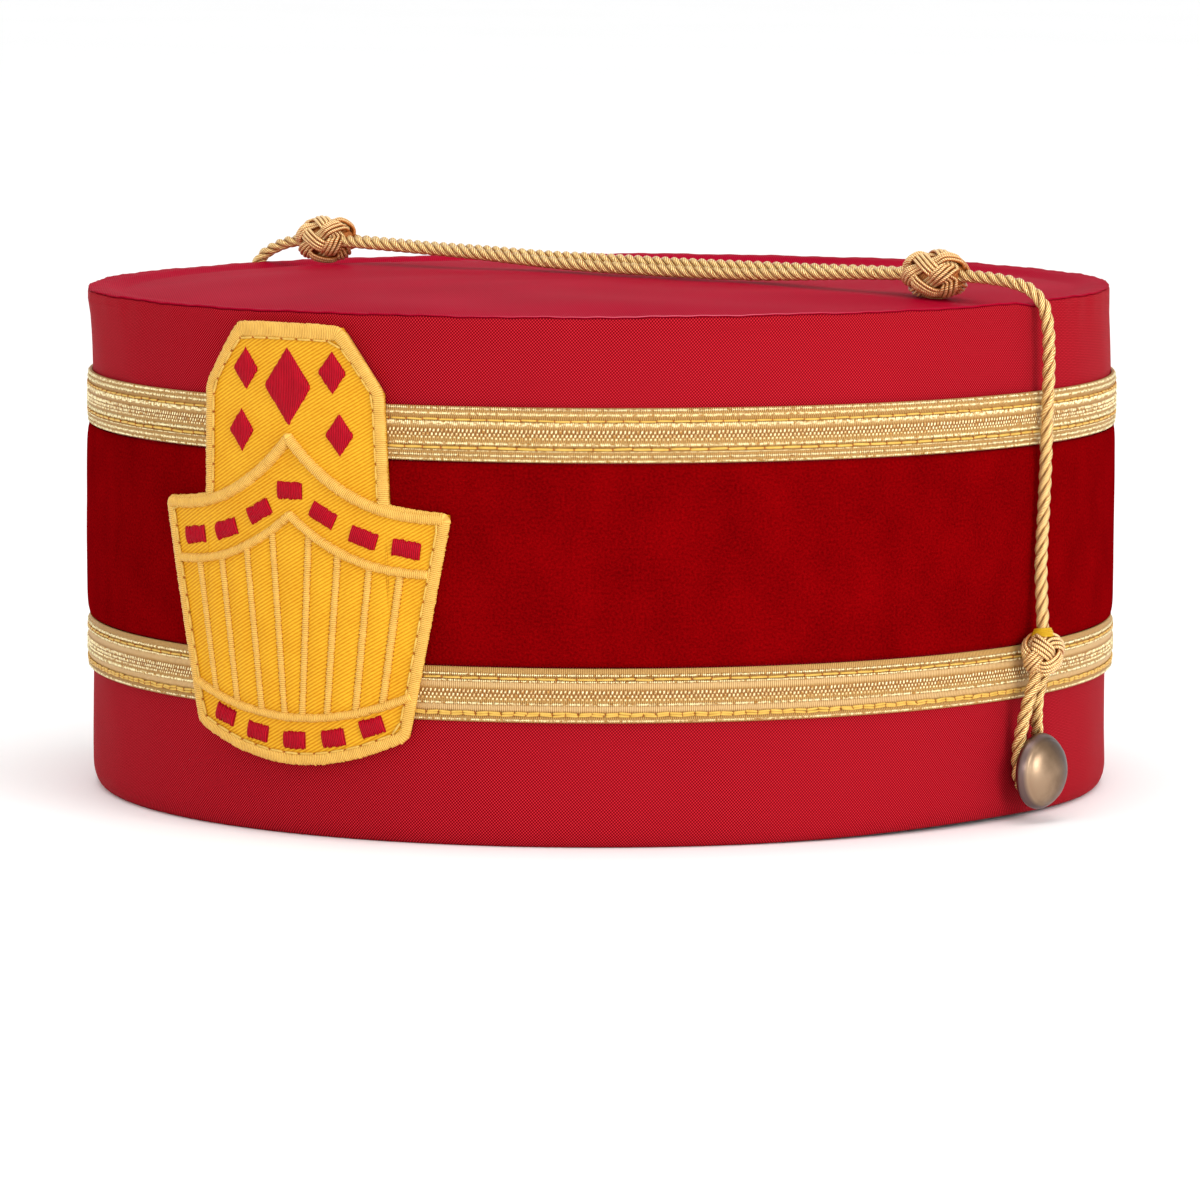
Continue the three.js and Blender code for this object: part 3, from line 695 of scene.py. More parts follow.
def add_cord_and_knots():
    left, right = in_row_frame(KNOT_TOP_LEFT), in_row_frame(KNOT_TOP_RIGHT)
    rise_left, rise_right = in_row_frame(RISE_LEFT), in_row_frame(RISE_RIGHT)
    side_left, side_right = rise_left[0], rise_right[-1]
    upward, outward = (0, 0, 1), (1, 0, 0)
    collar_at = np.array([0, 0, SIDE_KNOT["length"] / 2 - COLLAR_SUNK])
    on_main = [
        add_knot("knot_top_left", left, rise_left[-1] - left, upward, TOP_KNOT),
        add_knot("knot_top_right", right, rise_right[0] - right, upward, TOP_KNOT),
        add_knot("knot_side_left", side_left, upward, outward, SIDE_KNOT),
        add_knot("knot_side_right", side_right, upward, outward, SIDE_KNOT),
        add_collar("knot_side_left_wrap", side_left + collar_at, rise_left[2] - side_left),
        add_collar("knot_side_right_wrap", side_right + collar_at, rise_right[-3] - side_right),
    ]
    main = [*RISE_LEFT, KNOT_TOP_LEFT, *SPAN_FRONT, KNOT_TOP_RIGHT, *RISE_RIGHT]
    add_cord("cord_main", main, ("cord_rise_left", "cord_span_front", "cord_rise_right"))
    lift = np.array(SPAN_BACK_LIFT)
    beside = np.stack([0 * lift, np.sqrt(STRAND_SPACING**2 - lift**2), lift], axis=1)
    back = [KNOT_TOP_LEFT, *(np.array(SPAN_FRONT) + beside), KNOT_TOP_RIGHT]
    add_cord("cord_back_strand", back, ("cord_span_back",))
    add_cord("cord_left_loop", loop_route(), ("cord_loop_left",))
    add_cord("cord_right_loop", loop_route() * (-1, 1, 1), ("cord_loop_right",))


add_cord_and_knots()


# Satin wall and top

ROUND = 480  # columns round the cap
TURNS = np.linspace(0, FULL_TURN, ROUND + 1)
AROUND = TURNS[None, :-1]
HEM_HEIGHT = 4.2 * MM
HEM_INSET = 1.9 * MM
HEM_FLAT = 0.8 * MM
HEM_ROWS = 9
WALL_ROWS = 30
WALL = 3 * MM
LIP_DEPTH = 2.1 * MM
CREASE_INSET = 6.3 * MM
CREASE_DEPTH = 0.8 * MM
DOME_POWER = 4
DOME_RIPPLE = 0.25 * MM
PANEL = 1.6 * MM
SEAM = 0.3 * MM  # between the solids; here the satin is sewn to the top
TOP_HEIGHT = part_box("crown_top")[1].z
WALL_TOP = wall_high.z + SEAM
RIM_HEIGHT = WALL_TOP + LIP_DEPTH
CREASE_Z = RIM_HEIGHT - CREASE_DEPTH
CORNER = 0.02 * MM  # a last row this close keeps a sharp edge crisp under smooth shading
# Distance off the wall and drop below the rim, in millimetres: the wall's satin rolls into the seam,
# and the top's edge comes out of it
LIP_FACE = [(0.3, 2.1), (0.3, 2.08), (0.3, 1.3), (0.3, 0.8), (0.26, 0.6), (0.12, 0.44), (-0.16, 0.38)]
TOP_EDGE = [(-0.16, 0.34), (0.06, 0.29), (0.18, 0.22), (0.22, 0.14), (0.14, 0.05), (0, 0),
            (-0.5, -0.02), (-2.2, 0.05)]
FOLD_ROW = 4  # the row of the top's edge that carries a painted pale highlight
FOLD_TURN = math.radians(42)  # the middle of the stretch where it is
FOLD_WIDTH = 0.3

# Unevenness of the satin: waves round the cap, turns per metre of height, and size in millimetres
SLACK = table("round slant size", (5, 9, 0.16), (12, -14, 0.10), (31, 22, 0.05))
# Waviness of the sewn edge, and gathers along its seam
EDGE_WAVES = table("round size", (9, 0.06), (26, 0.05), (61, 0.04), (133, 0.04))
PUCKERS = table("round size", (43, 0.05), (71, 0.04), (97, 0.03))
PUCKER_REACH = 2.2 * MM
# The rim rises on one side, less under the cord, and leans away from that side
RIM_RISE = 0.5 * MM
RIM_RISE_TURN = math.radians(105)
CORD_TURN = math.radians(88.8)
CORD_PRESS = 0.7
CORD_WIDTH = 0.04  # as an angle
RIM_LEAN = 0.65 * MM
RIM_LEAN_TURN = math.radians(303)
RIM_BEND = 14 * MM  # over which it does
HEM_LIFT = 0.7 * MM  # of the hem, off the floor by the button
HEM_LIFT_TURN = math.radians(81)
HEM_LIFT_WIDTH = 0.35
HEM_BEND = 12 * MM


def slack(turn, height):
    """How far the satin stands off its even form."""
    phases = [row["round"] * turn + FULL_TURN * row["slant"] * height for row in SLACK]
    return MM * sum(row["size"] * np.sin(phase) for row, phase in zip(SLACK, phases))


def edge_wave(turn):
    return MM * sum(row["size"] * np.sin(row["round"] * turn + 1.7 * k) for k, row in enumerate(EDGE_WAVES))


def pucker(turn):
    """Small gathers along a seam, uneven round the cap."""
    phases = [row["round"] * turn + 4 * np.sin((k + 3) * turn) for k, row in enumerate(PUCKERS)]
    return MM * sum(row["size"] * np.sin(phase) for row, phase in zip(PUCKERS, phases))


def near(turn, middle, width):
    """1 at one turn, fading to either side."""
    return np.exp(-(((turn - middle) / width) ** 2))


def rim_rise(turn):
    pressed = 1 - CORD_PRESS * near(turn, CORD_TURN, CORD_WIDTH)
    return RIM_RISE * (1 + np.cos(turn - RIM_RISE_TURN)) * pressed


def rim_lean(turn):
    return RIM_LEAN * np.cos(turn - RIM_LEAN_TURN)


def hem_lift(turn):
    return HEM_LIFT * near(turn, HEM_LIFT_TURN, HEM_LIFT_WIDTH)


def turned(name, material, slot, node, off, height, closed=True):
    """A skin round the cap from rows of off and height, each a value for every column."""
    level = height.mean(axis=1)
    level = np.append(level, level[0]) if closed else level
    uvs = uv_grid(level, TURNS * RADIUS)[..., ::-1]
    skin(name, material, slot, node, on_wall(AROUND, height, off), uvs)


def add_satin_wall():
    hem = np.linspace(0, math.pi / 2, HEM_ROWS)
    straight = np.linspace(HEM_HEIGHT, WALL_TOP, WALL_ROWS)[1:]
    level = np.concatenate([HEM_HEIGHT * (1 - np.cos(hem)), straight, [WALL_TOP + CORNER]])[:, None]
    inset = HEM_INSET * np.concatenate([1 - np.sin(hem), np.zeros(WALL_ROWS)])[:, None]
    settled = np.clip(level / (2 * HEM_HEIGHT), 0, 1)
    at_top = np.exp((level - WALL_TOP) / PUCKER_REACH)
    bend = np.clip(1 + (level - WALL_TOP) / RIM_BEND, 0, 1) ** 2
    low = np.clip(1 - level / HEM_BEND, 0, 1)
    off = settled * slack(AROUND, level) - inset + at_top * (pucker(AROUND) + LIP_FLARE)
    off += bend * rim_lean(AROUND)
    height = level + bend * rim_rise(AROUND) + low * hem_lift(AROUND)
    flat_inner = -HEM_INSET - HEM_FLAT
    inner = np.array([(-WALL, WALL_TOP), (-WALL, WALL_TOP / 2), (-WALL, 2 * HEM_HEIGHT),
                      (-WALL, WALL + flat_inner), (flat_inner, 0)])
    inner_off, inner_z = (column[:, None] + 0 * AROUND for column in inner.T)
    inner_z = inner_z + hem_lift(AROUND) * (inner_z < HEM_HEIGHT)
    off, height = np.vstack([off, inner_off]), np.vstack([height, inner_z])
    turned("satin_wall", SATIN, "satin", "crown_wall", off, height)


def add_satin_lip():
    """The top panel's edge, sewn flush with the wall."""
    rows = np.array(LIP_FACE) * MM
    level = RIM_HEIGHT - rows[:, 1:]
    off = rows[:, :1] + slack(AROUND, level) + pucker(AROUND) + rim_lean(AROUND)
    height = level + rim_rise(AROUND) + edge_wave(AROUND) * (rows[:, 1:] < LIP_DEPTH / 2)
    turned("satin_lip", SATIN, "satin", "crown_top", off, height, closed=False)


def panel_height(share):
    """Height of the domed middle at a share of the way out to the crease."""
    return CREASE_Z + (TOP_HEIGHT - CREASE_Z) * (1 - share**DOME_POWER)


def top_rows():
    """The top panel from its middle out to its sewn edge, as distance off the wall and height."""
    edge_off, edge_drop = np.array(TOP_EDGE).T * MM
    fall = np.linspace(0, 1, 13)[1:]
    fall_off = edge_off[-1] - fall * (CREASE_INSET + edge_off[-1])
    fall_drop = edge_drop[-1] + (CREASE_DEPTH - edge_drop[-1]) * (3 * fall**2 - 2 * fall**3)
    share = np.concatenate([np.linspace(1, 0.98, 5)[1:], np.linspace(0.98, 0, 28)[1:-1]])
    off = np.concatenate([edge_off, fall_off, share * (RADIUS - CREASE_INSET) - RADIUS])
    height = RIM_HEIGHT - np.concatenate([edge_drop, fall_drop])
    return np.column_stack([off, np.concatenate([height, panel_height(share)])])[::-1]


def under_rows():
    """The same panel's underside, from its edge in to its middle."""
    seat = -WALL - SEAM
    edge_z = RIM_HEIGHT - LIP_DEPTH
    share = np.linspace(1, 0.05, 8)
    inner = np.column_stack([share * (RADIUS - CREASE_INSET) - RADIUS, panel_height(share) - PANEL])
    return np.vstack([[(-4 * LIP_FLARE, edge_z), (seat, edge_z), (seat, CREASE_Z - PANEL)], inner])


def add_satin_top():
    over, under = top_rows(), under_rows()
    level_off, level = over[:, :1], over[:, 1:]
    outward = np.clip((level_off + RADIUS) / RADIUS, 0, 1)
    at_edge = np.exp(np.minimum(level_off, 0) / PUCKER_REACH)
    bend = np.exp(np.minimum(level_off, 0) / RIM_BEND)
    ripples = np.sin(3 * AROUND + 9 * outward) + np.sin(7 * AROUND - 14 * outward)
    height = level + DOME_RIPPLE * outward * (1 - outward**8) * ripples + at_edge * edge_wave(AROUND)
    height = height + bend * rim_rise(AROUND)
    off = level_off + at_edge * (pucker(AROUND) + slack(AROUND, RIM_HEIGHT)) + bend * rim_lean(AROUND)
    off = np.vstack([off, under[:, :1] + 0 * AROUND])
    height = np.vstack([height, under[:, 1:] + 0 * AROUND])
    reach = np.concatenate([over[0, 0] + lengths_along(over), under[:, 0]]) + RADIUS
    outwards = np.stack([np.sin(TURNS), -np.cos(TURNS)], axis=-1)
    # A painted pale highlight along one row of the top's edge, fading out to either side of one turn.
    folded = np.zeros((len(reach), 1))
    folded[len(over) - 1 - FOLD_ROW] = 1
    fold = folded * near(AROUND, FOLD_TURN, FOLD_WIDTH)
    skin("satin_top", SATIN_TOP_PAINTED_SHEEN, "satin", "crown_top", on_wall(AROUND, height, off),
         reach[:, None, None] * outwards, caps=True, fold=fold)


add_satin_wall()
add_satin_lip()
add_satin_top()


# Velvet band

velvet_low, velvet_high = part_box("velvet_band")
VELVET_CROWN = velvet_high.x - RADIUS - 0.15 * MM  # leaves room for its unevenness
VELVET_EDGE = 0.75 * MM
VELVET_ROLL = 1.5 * MM
VELVET_UNEVEN = 0.8


def add_velvet():
    height = np.linspace(velvet_low.z, velvet_high.z, 33)[:, None]
    from_edge = np.minimum(height - velvet_low.z, velvet_high.z - height)
    rise = 1 - np.exp(-from_edge / VELVET_ROLL)
    uneven = rise * (slack(AROUND + 2, height) + 0.5 * slack(3 * AROUND, 2 * height))
    off = VELVET_EDGE + rise * (VELVET_CROWN - VELVET_EDGE) + VELVET_UNEVEN * uneven
    off = np.vstack([off, np.full((2, ROUND), BAND_BACK)])
    height = np.vstack([height, [[velvet_high.z], [velvet_low.z]]])
    turned("velvet_cloth", VELVET, "velvet", "velvet_band", off, height)


add_velvet()


# Lace bands

LACE_EDGE = 0.7 * MM
LACE_CROWN = 1.0 * MM
LACE_COLUMNS = 720
LACE_ROWS = 36
SEED, DASH, STITCH = bead(1, 4, 2), bead(2, 5, 2), bead(6, 6, 8)
PINCH = 2.87 * MM  # between the places where the sewing draws in the upper band's puffs
PUFF = 0.33
# Each row's height is above the band's lower edge, in millimetres.
# A fine row's threads lie close along the band, a slant row's lean, and a comb row's stand upright.
# A stitch row is sewn, its length is one stitch, and its zigzag is in degrees.
UPPER_LACE = table(
    "kind at width length zigzag",
    ("fine", 0.28, 0.66, 0.44),
    ("fine", 1.11, 0.72, 0.44),
    ("fine", 1.92, 0.34, 0.40),
    ("stitch", 2.38, 0.48, 3.26, 0),
    ("fine", 3.13, 0.90, 0.44),
    ("slant", 4.10, 0.42, 0.50),
    ("slant", 4.66, 0.42, 0.66),
    ("slant", 5.34, 0.42, 0.78),
    ("comb", 6.58, 0.33, 1.05),
    ("stitch", 7.22, 0.38, 2.87, 0),
    ("fine", 8.30, 0.74, 0.44),
    ("fine", 9.18, 0.66, 0.44),
)
LOWER_LACE = table(
    "kind at width length zigzag",
    ("fine", 0.36, 0.60, 0.44),
    ("stitch", 1.28, 0.46, 2.2, 4),
    ("stitch", 1.64, 0.46, 2.2, 4),
    ("fine", 3.24, 0.76, 0.44),
    ("slant", 4.08, 0.42, 0.50),
    ("slant", 4.67, 0.42, 0.66),
    ("slant", 5.37, 0.42, 0.78),
    ("fine", 7.18, 0.62, 0.44),
    ("stitch", 7.62, 0.40, 3.31, 0),
    ("fine", 8.31, 0.70, 0.44),
)
# Stretches of the ground that aren't tan, as heights in millimetres above the band's lower edge
TAN = 0.5
UPPER_TONES = table("from to tone", (4.3, 5.8, 0.1), (6.1, 7.0, 0.9))
LOWER_TONES = table("from to tone", (1.9, 3.1, 1.0), (4.3, 5.9, 0.1), (6.0, 7.1, 1.0))
TONE_EDGE = 0.2 * MM
WEAVES = {
    "fine": {"bead": SEED, "spacing": WOVEN, "lean": 0.0},
    "comb": {"bead": DASH, "spacing": WOVEN, "lean": math.pi / 2},
    "slant": {"bead": DASH, "spacing": 2 * WOVEN, "lean": math.radians(74)},
}
DASH_RISE = 0.36 * MM
ROW_REACH = 0.4 * MM  # to either side, over which a row swells or draws in the ground
ROW_SWELL = 0.08 * MM
ROW_DRAW = 0.22 * MM
STITCH_RISE = 0.5 * MM
STITCH_OVERLAP = 1.02
# A needle hole's length, how much wider it is than its stitch, and its rise, in millimetres
PLAIN_HOLE = (0.28, 0.3, 0.44)
ZIGZAG_HOLE = (0.22, 0.0, 0.4)
HOLE_LIFT = 0.06 * MM
DASH_LIFT = 0.06 * MM
COMB_LEAST = 0.6  # of a comb thread's length, where the sewing pinches it
COMB_LIFT = 0.15 * MM
# How far stitches stray along and across the band, and in slant, and dashes along, in height and in lean
STITCH_STRAY = (0.1 * MM, 0.04 * MM, 0.02)
DASH_STRAY = (0.02 * MM, 0.03 * MM, 0.06)


def lace_off(share):
    """The band's crowned face; share is from 0 at its lower edge to 1 at its upper."""
    return LACE_EDGE + (LACE_CROWN - LACE_EDGE) * (1 - (2 * share - 1) ** 4)


def lace_relief(rows, above):
    """Woven rows swell the ground a little, and sewing draws it in."""
    relief = np.zeros_like(above)
    for row in rows:
        depth = -ROW_DRAW if row["kind"] == "stitch" else ROW_SWELL
        relief += depth * near(above, row["at"] * MM, ROW_REACH)
    return relief


def lace_tone(stretches, above):
    tone = np.full_like(above, TAN)
    for row in stretches:
        start, end = (np.tanh((above - row[limit] * MM) / TONE_EDGE) for limit in ("from", "to"))
        tone += (row["tone"] - TAN) * (start - end) / 2
    return tone


def add_lace_ground(name, rows, stretches):
    low, high = (corner.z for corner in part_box(name))
    width = high - low
    around = np.linspace(0, FULL_TURN, LACE_COLUMNS + 1)
    share = np.linspace(0, 1, LACE_ROWS)
    above = share * width
    gather = 1 + PUFF * np.sin(around[:-1] * RADIUS * FULL_TURN / PINCH)
    off = lace_off(share)[:, None] + lace_relief(rows, above)[:, None] * gather
    off = np.vstack([off, np.full((2, LACE_COLUMNS), BAND_BACK)])
    height = np.concatenate([above, [width, 0]])
    uvs = uv_grid(np.append(height, 0), around * RADIUS)[..., ::-1]
    tone = np.concatenate([lace_tone(stretches, above), [TAN, TAN]])
    points = on_wall(around[:-1], low + height[:, None], off)
    skin(f"{name}_ground", LACE_GROUND, "lace", name, points, uvs, tone=np.repeat(tone, LACE_COLUMNS))


def add_sewn_row(sewn, holes, place, row, random):
    count = round(GIRTH / (row["length"] * MM))
    pitch = GIRTH / count
    along, across, turn = STITCH_STRAY
    start = np.arange(count) * pitch + random.normal(0, along, count)
    above = row["at"] * MM + random.normal(0, across, count)
    at = np.stack([start, above, 0 * start], axis=1)
    slant = math.radians(row["zigzag"]) * (-1) ** np.arange(count) + random.normal(0, turn, count)
    size = (STITCH_OVERLAP * pitch, row["width"] * MM, STITCH_RISE)
    add_beads(sewn, place, STITCH, at, size, slant)
    length, wider, rise = ZIGZAG_HOLE if row["zigzag"] else PLAIN_HOLE
    size = np.array([length, row["width"] + wider, rise]) * MM
    # Dark beads between the stitches, painted shade at the needle holes.
    add_beads(holes, place, DASH, at + (pitch / 2, 0, HOLE_LIFT), size)


def add_woven_row(metal, place, row, shift, random):
    weave = WEAVES[row["kind"]]
    count = round(GIRTH / weave["spacing"])
    along, lift, lean = DASH_STRAY
    start = (np.arange(count) + shift) * GIRTH / count + random.normal(0, along, count)
    above, length, width, rise = (np.full(count, value) for value in (
        row["at"] * MM, row["length"] * MM, row["width"] * MM, DASH_RISE))
    if row["kind"] == "comb":
        puff = np.abs(np.sin(math.pi * start / PINCH))
        length *= COMB_LEAST + (1 - COMB_LEAST) * puff
        above += COMB_LIFT * (1 - puff)
    at = np.stack([start, above, random.normal(DASH_LIFT, lift, count)], axis=1)
    size = np.stack([length, width, rise], axis=1)
    add_beads(metal, place, weave["bead"], at, size, random.normal(weave["lean"], lean, count))


def add_lace(name, rows, stretches, seed):
    random = np.random.default_rng(seed)
    low, high = (corner.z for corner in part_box(name))

    def place(along, above, off):
        return on_wall(along / RADIUS, low + above, off + lace_off(np.clip(above / (high - low), 0, 1)))

    add_lace_ground(name, rows, stretches)
    metal, sewn, holes = Shape(), Shape(), Shape()
    for k, row in enumerate(rows):
        if row["kind"] == "stitch":
            add_sewn_row(sewn, holes, place, row, random)
        else:
            add_woven_row(metal, place, row, 0.5 * (k % 2), random)
    metal.piece(f"{name}_metal", METAL_THREAD, "lace")
    sewn.piece(f"{name}_stitches", YELLOW_STITCH, "lace")
    holes.piece(f"{name}_holes", NEEDLE_HOLE_SHADE, "lace")


add_lace("lace_upper", UPPER_LACE, UPPER_TONES, 11)
add_lace("lace_lower", LOWER_LACE, LOWER_TONES, 12)


# Badge

def front_of(node):
    """How far off the satin a badge node's foremost face stands."""
    return (CENTRE_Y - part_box(node)[0].y) / OVAL - RADIUS


PATCH_FRONT = front_of("badge_patch")
BADGE_FRONT = front_of("badge_braid")
PATCH_BACK = 1.4 * MM
PATCH_ROWS = 130
BADGE_LEAN = 0.025
BADGE_LEVEL = 56 * MM
PATCH_TUCK = 0.4  # millimetres of the border's outer edge that lap over the patch
SKIRT = 0.5 * MM  # how far off the satin the border's outer edge reaches down
SKIRT_TUCK = 0.7 * MM  # and in under it
BORDER_OUTER = 1.2 * MM  # from the middle of the border's stitches to its outer edge
BORDER_INNER = 0.85 * MM  # and to its inner edge
BORDER_INNER_TOP = 1.7 * MM  # and along the top
BORDER_TOP_FROM = 86 * MM
BORDER_EASE = 6  # threads to either side over which it widens
RIB_WIDTH = 1.3 * MM

# The patch's right half: x, and the heights of its lower and upper edge, in millimetres
PATCH_COLUMNS = table(
    "x low high",
    (0, 12.9, 90.4), (5.5, 13.3, 90.4), (10.9, 14.4, 90.2),
    (14.8, 15.6, 84.6), (18.6, 17.1, 79.0), (19.2, 17.3, 59.6),
    (22.0, 18.7, 59.1), (26.0, 37.5, 58.6), (30.0, 56.8, 58.4),
)
UPPER_ARCH = {"half": 28.9, "base": 57.3, "rise": 12.9, "power": 2.5, "width": 2.0}
LOWER_ARCH = {"half": 26.1, "base": 47.6, "rise": 9.2, "power": 2.3, "width": 1.6}
FOOT_ARC = {"half": 22.6, "base": 21.3, "sag": 5.0, "width": 1.5}
RIBS = table("top foot", (3.8, 1.8), (9.5, 6.7), (15.4, 12.2), (21.0, 17.2))
UPPER_BLOCKS = table("x z tilt", (0, 61.1, 0), (6.6, 57.1, 27), (14.3, 53.5, 18), (22.1, 51.9, 8))
LOWER_BLOCKS = table("x z tilt", (0, 17.3, 0), (7.8, 18.2, -10), (15.2, 20.6, -18))
BLOCK_LENGTHS = {"upper": 5.2, "lower": 4.6}
BLOCK_HEIGHT = 3.1
LOZENGES = table(
    "x z width height",
    (-10.2, 71.2, 5.2, 7.6), (-9.0, 82.0, 5.2, 7.6), (0, 79.3, 9.2, 14.0),
    (9.0, 82.0, 5.2, 7.6), (10.2, 71.2, 5.2, 7.6),
)
LOZENGE_TIP = 0.06  # of its height
# The field's swell between the ribs, in millimetres: the ribs' heights, and how soon it fades by the arcs
QUILT_LOW = 22
QUILT_HIGH = 50
QUILT_FADE = 2
QUILT_SWELL = 0.4 * MM
NO_RIB = 99


def on_front(x, z, off):
    """Points on the badge, which is sewn on a little askew."""
    return on_wall((x + BADGE_LEAN * (BADGE_LEVEL - z)) / RADIUS, z, off)


def both_halves(rows):
    """The rows of the right half, with their mirror images before them."""
    return [{**row, "x": -row["x"]} for row in reversed(rows) if row["x"] > 0] + rows


def arch_height(arch, x):
    share = np.clip(np.abs(x) / arch["half"], 0, 1)
    return arch["base"] + arch["rise"] * (1 - share) ** arch["power"]


def foot_height(x):
    return FOOT_ARC["base"] + FOOT_ARC["sag"] * (x / FOOT_ARC["half"]) ** 2


def quilting(x, z):
    """How far the field swells between the ribs; x and z in millimetres."""
    up = np.clip((z - QUILT_LOW) / (QUILT_HIGH - QUILT_LOW), 0, 1)[..., None]
    feet, tops = (np.array([side * rib[end] for side in (-1, 1) for rib in RIBS]) for end in ("foot", "top"))
    gap = x[..., None] - feet - up * (tops - feet)
    left = np.where(gap >= 0, gap, NO_RIB).min(axis=-1)
    right = np.where(gap < 0, -gap, NO_RIB).min(axis=-1)
    swell = np.where((left < NO_RIB) & (right < NO_RIB), 4 * left * right / (left + right) ** 2, 0)
    above_foot = np.clip((z - foot_height(x)) / QUILT_FADE, 0, 1)
    below_arch = np.clip((arch_height(LOWER_ARCH, x) - z) / QUILT_FADE, 0, 1)
    return QUILT_SWELL * swell * above_foot * below_arch


def add_patch():
    columns = both_halves(PATCH_COLUMNS)
    known = np.array([row["x"] for row in columns])
    x = np.unique(np.concatenate([known, np.linspace(known[0], known[-1], 121)]))
    low, high = (np.interp(x, known, [row[edge] for row in columns]) for edge in ("low", "high"))
    x *= 1 - PATCH_TUCK / x[-1]
    low, high = low + PATCH_TUCK, high - PATCH_TUCK
    z = low + np.linspace(0, 1, PATCH_ROWS)[:, None] * (high - low)
    front = PATCH_FRONT + quilting(x + 0 * z, z)
    off = np.vstack([front, np.full((2, len(x)), PATCH_BACK)])
    x_loop = np.vstack([x + 0 * z, x, x]) * MM
    z_loop = np.vstack([z, high, low]) * MM
    uvs = np.stack([x_loop, z_loop], axis=-1)
    points = on_front(x_loop, z_loop, off)
    skin("badge_field", TWILL, "twill", "badge_patch", points, np.concatenate([uvs, uvs[:1]]))


# Across a bar of satin stitch, from its middle to its edge, and how far it rises there
BAR_HALF = [(0, 1), (0.34, 0.95), (0.68, 0.78), (0.92, 0.42), (1, 0)]
BAR_SECTION = [(-share, rise) for share, rise in BAR_HALF[:0:-1]] + BAR_HALF
THREAD_RELIEF = [0.0, 0.8, 1.0, 0.8]  # over one thread
THREAD_RISE = 0.07 * MM
LOOSENESS = 0.3  # of the threads' rise
RAGGED = 0.05 * MM  # of a bar's edges
BAR_SUNK = 0.05 * MM  # into the patch
END_ROUND = 0.5 * MM  # length over which the end of a bar rises
ARCH_CREST = BADGE_FRONT - PATCH_FRONT
BORDER_CREST = 0.6 * MM
RIB_CREST = 0.64 * MM
BLOCK_CREST = 0.65 * MM
BLOCK_RAGGED = 0.08 * MM
LOZENGE_RAGGED = 0.06 * MM
SEWING_PITCH = 3.1 * MM  # of the stitches that hold the badge, along the border's inner edge
SEWING_SIZE = (2.7 * MM, 0.42 * MM, STITCH_RISE)
SEWING_LIFT = 0.25 * MM
SEWING_HOLE = (0.34 * MM, 0.5 * MM, 0.5 * MM)
SEWING_HOLE_LIFT = 0.2 * MM
PRICK_PITCH = 0.75 * MM  # of the dark beads along a rib, painted shade at its needle holes and edges
PRICK_SIZE = (0.24 * MM, 0.34 * MM, 0.24 * MM)
PRICK_GAP = 0.06 * MM  # from the rib's edge
CORNER_CUT = 0.5 * MM  # at most, of each side of a rounded corner
SEWING_REACH = 0.95  # of the way in to the border's inner edge


def spread(values, count):
    """One value, or a row of them, over a count of places."""
    values = np.atleast_1d(values)
    return np.interp(np.linspace(0, 1, count), np.linspace(0, 1, len(values)), values)


def add_bar(shape, path, half, random, crest, closed=False, ragged=RAGGED, skirt=None, left_half=None):
    """A bar of satin stitch along a flat path, its threads lying across. half is its half width."""
    steps = len(THREAD_RELIEF)
    path = resampled(path, THREAD / steps, closed)
    count = len(path)
    if closed:
        ahead = unit(np.gradient(np.vstack([path[-1:], path, path[:1]]), axis=0)[1:-1])
    else:
        ahead = unit(np.gradient(path, axis=0))
    right = np.stack([ahead[:, 1], -ahead[:, 0]], axis=1)
    threads = np.arange(count) // steps
    loose = random.normal(0, 1, (threads[-1] + 1, 3))[threads]
    left, half = spread(half if left_half is None else left_half, count), spread(half, count)
    relief = THREAD_RISE * np.array(THREAD_RELIEF)[np.arange(count) % steps] * (1 + LOOSENESS * loose[:, 2])
    from_end = np.minimum(np.arange(count), np.arange(count)[::-1]) * THREAD / steps
    level = 1 if closed else np.sqrt(1 - (1 - np.clip(from_end / END_ROUND, 0, 1)) ** 2)
    rows = []
    for share, rise in BAR_SECTION:
        wide, uneven = (left, loose[:, 0]) if share < 0 else (half, loose[:, 1])
        reach = share * wide + ragged * (abs(share) > 0.5) * uneven
        off = PATCH_FRONT - BAR_SUNK + rise * level * (crest + relief - THREAD_RISE)
        rows.append(on_front(*(path + right * reach[:, None]).T, off))
    if skirt is not None:
        rows.append(on_front(*(path + right * (half[:, None] - SKIRT_TUCK)).T, skirt))
    along = np.arange(count + closed) * THREAD / steps
    shape.grid(np.stack(rows, axis=1), uv_grid(along, np.linspace(-1, 1, len(rows)) * half.mean()))


def rounded(path, times=2):
    """A closed path with its corners cut round."""
    for _ in range(times):
        ahead = np.roll(path, -1, axis=0)
        step = np.linalg.norm(ahead - path, axis=1)[:, None]
        cut = np.minimum(0.25, CORNER_CUT / step)
        path = np.stack([path + cut * (ahead - path), ahead - cut * (ahead - path)], axis=1).reshape(-1, 2)
    return path


def inset(path, distance):
    """A closed path moved to its left, with mitred corners."""
    into = unit(path - np.roll(path, 1, axis=0))
    out = unit(np.roll(path, -1, axis=0) - path)
    along = unit(into + out)
    mitre = np.maximum((along * out).sum(axis=1), 0.5)[:, None]
    return path + np.stack([-along[:, 1], along[:, 0]], axis=1) * distance / mitre


def patch_outline():
    columns = both_halves(PATCH_COLUMNS)
    lower = [(row["x"], row["low"]) for row in columns]
    upper = [(row["x"], row["high"]) for row in reversed(columns)]
    return np.array(lower + upper) * MM


def side_to_side(arc, height):
    """A flat path along an arc of the badge."""
    x = np.linspace(-arc["half"], arc["half"], 121)
    return np.stack([x, height(x)], axis=1) * MM


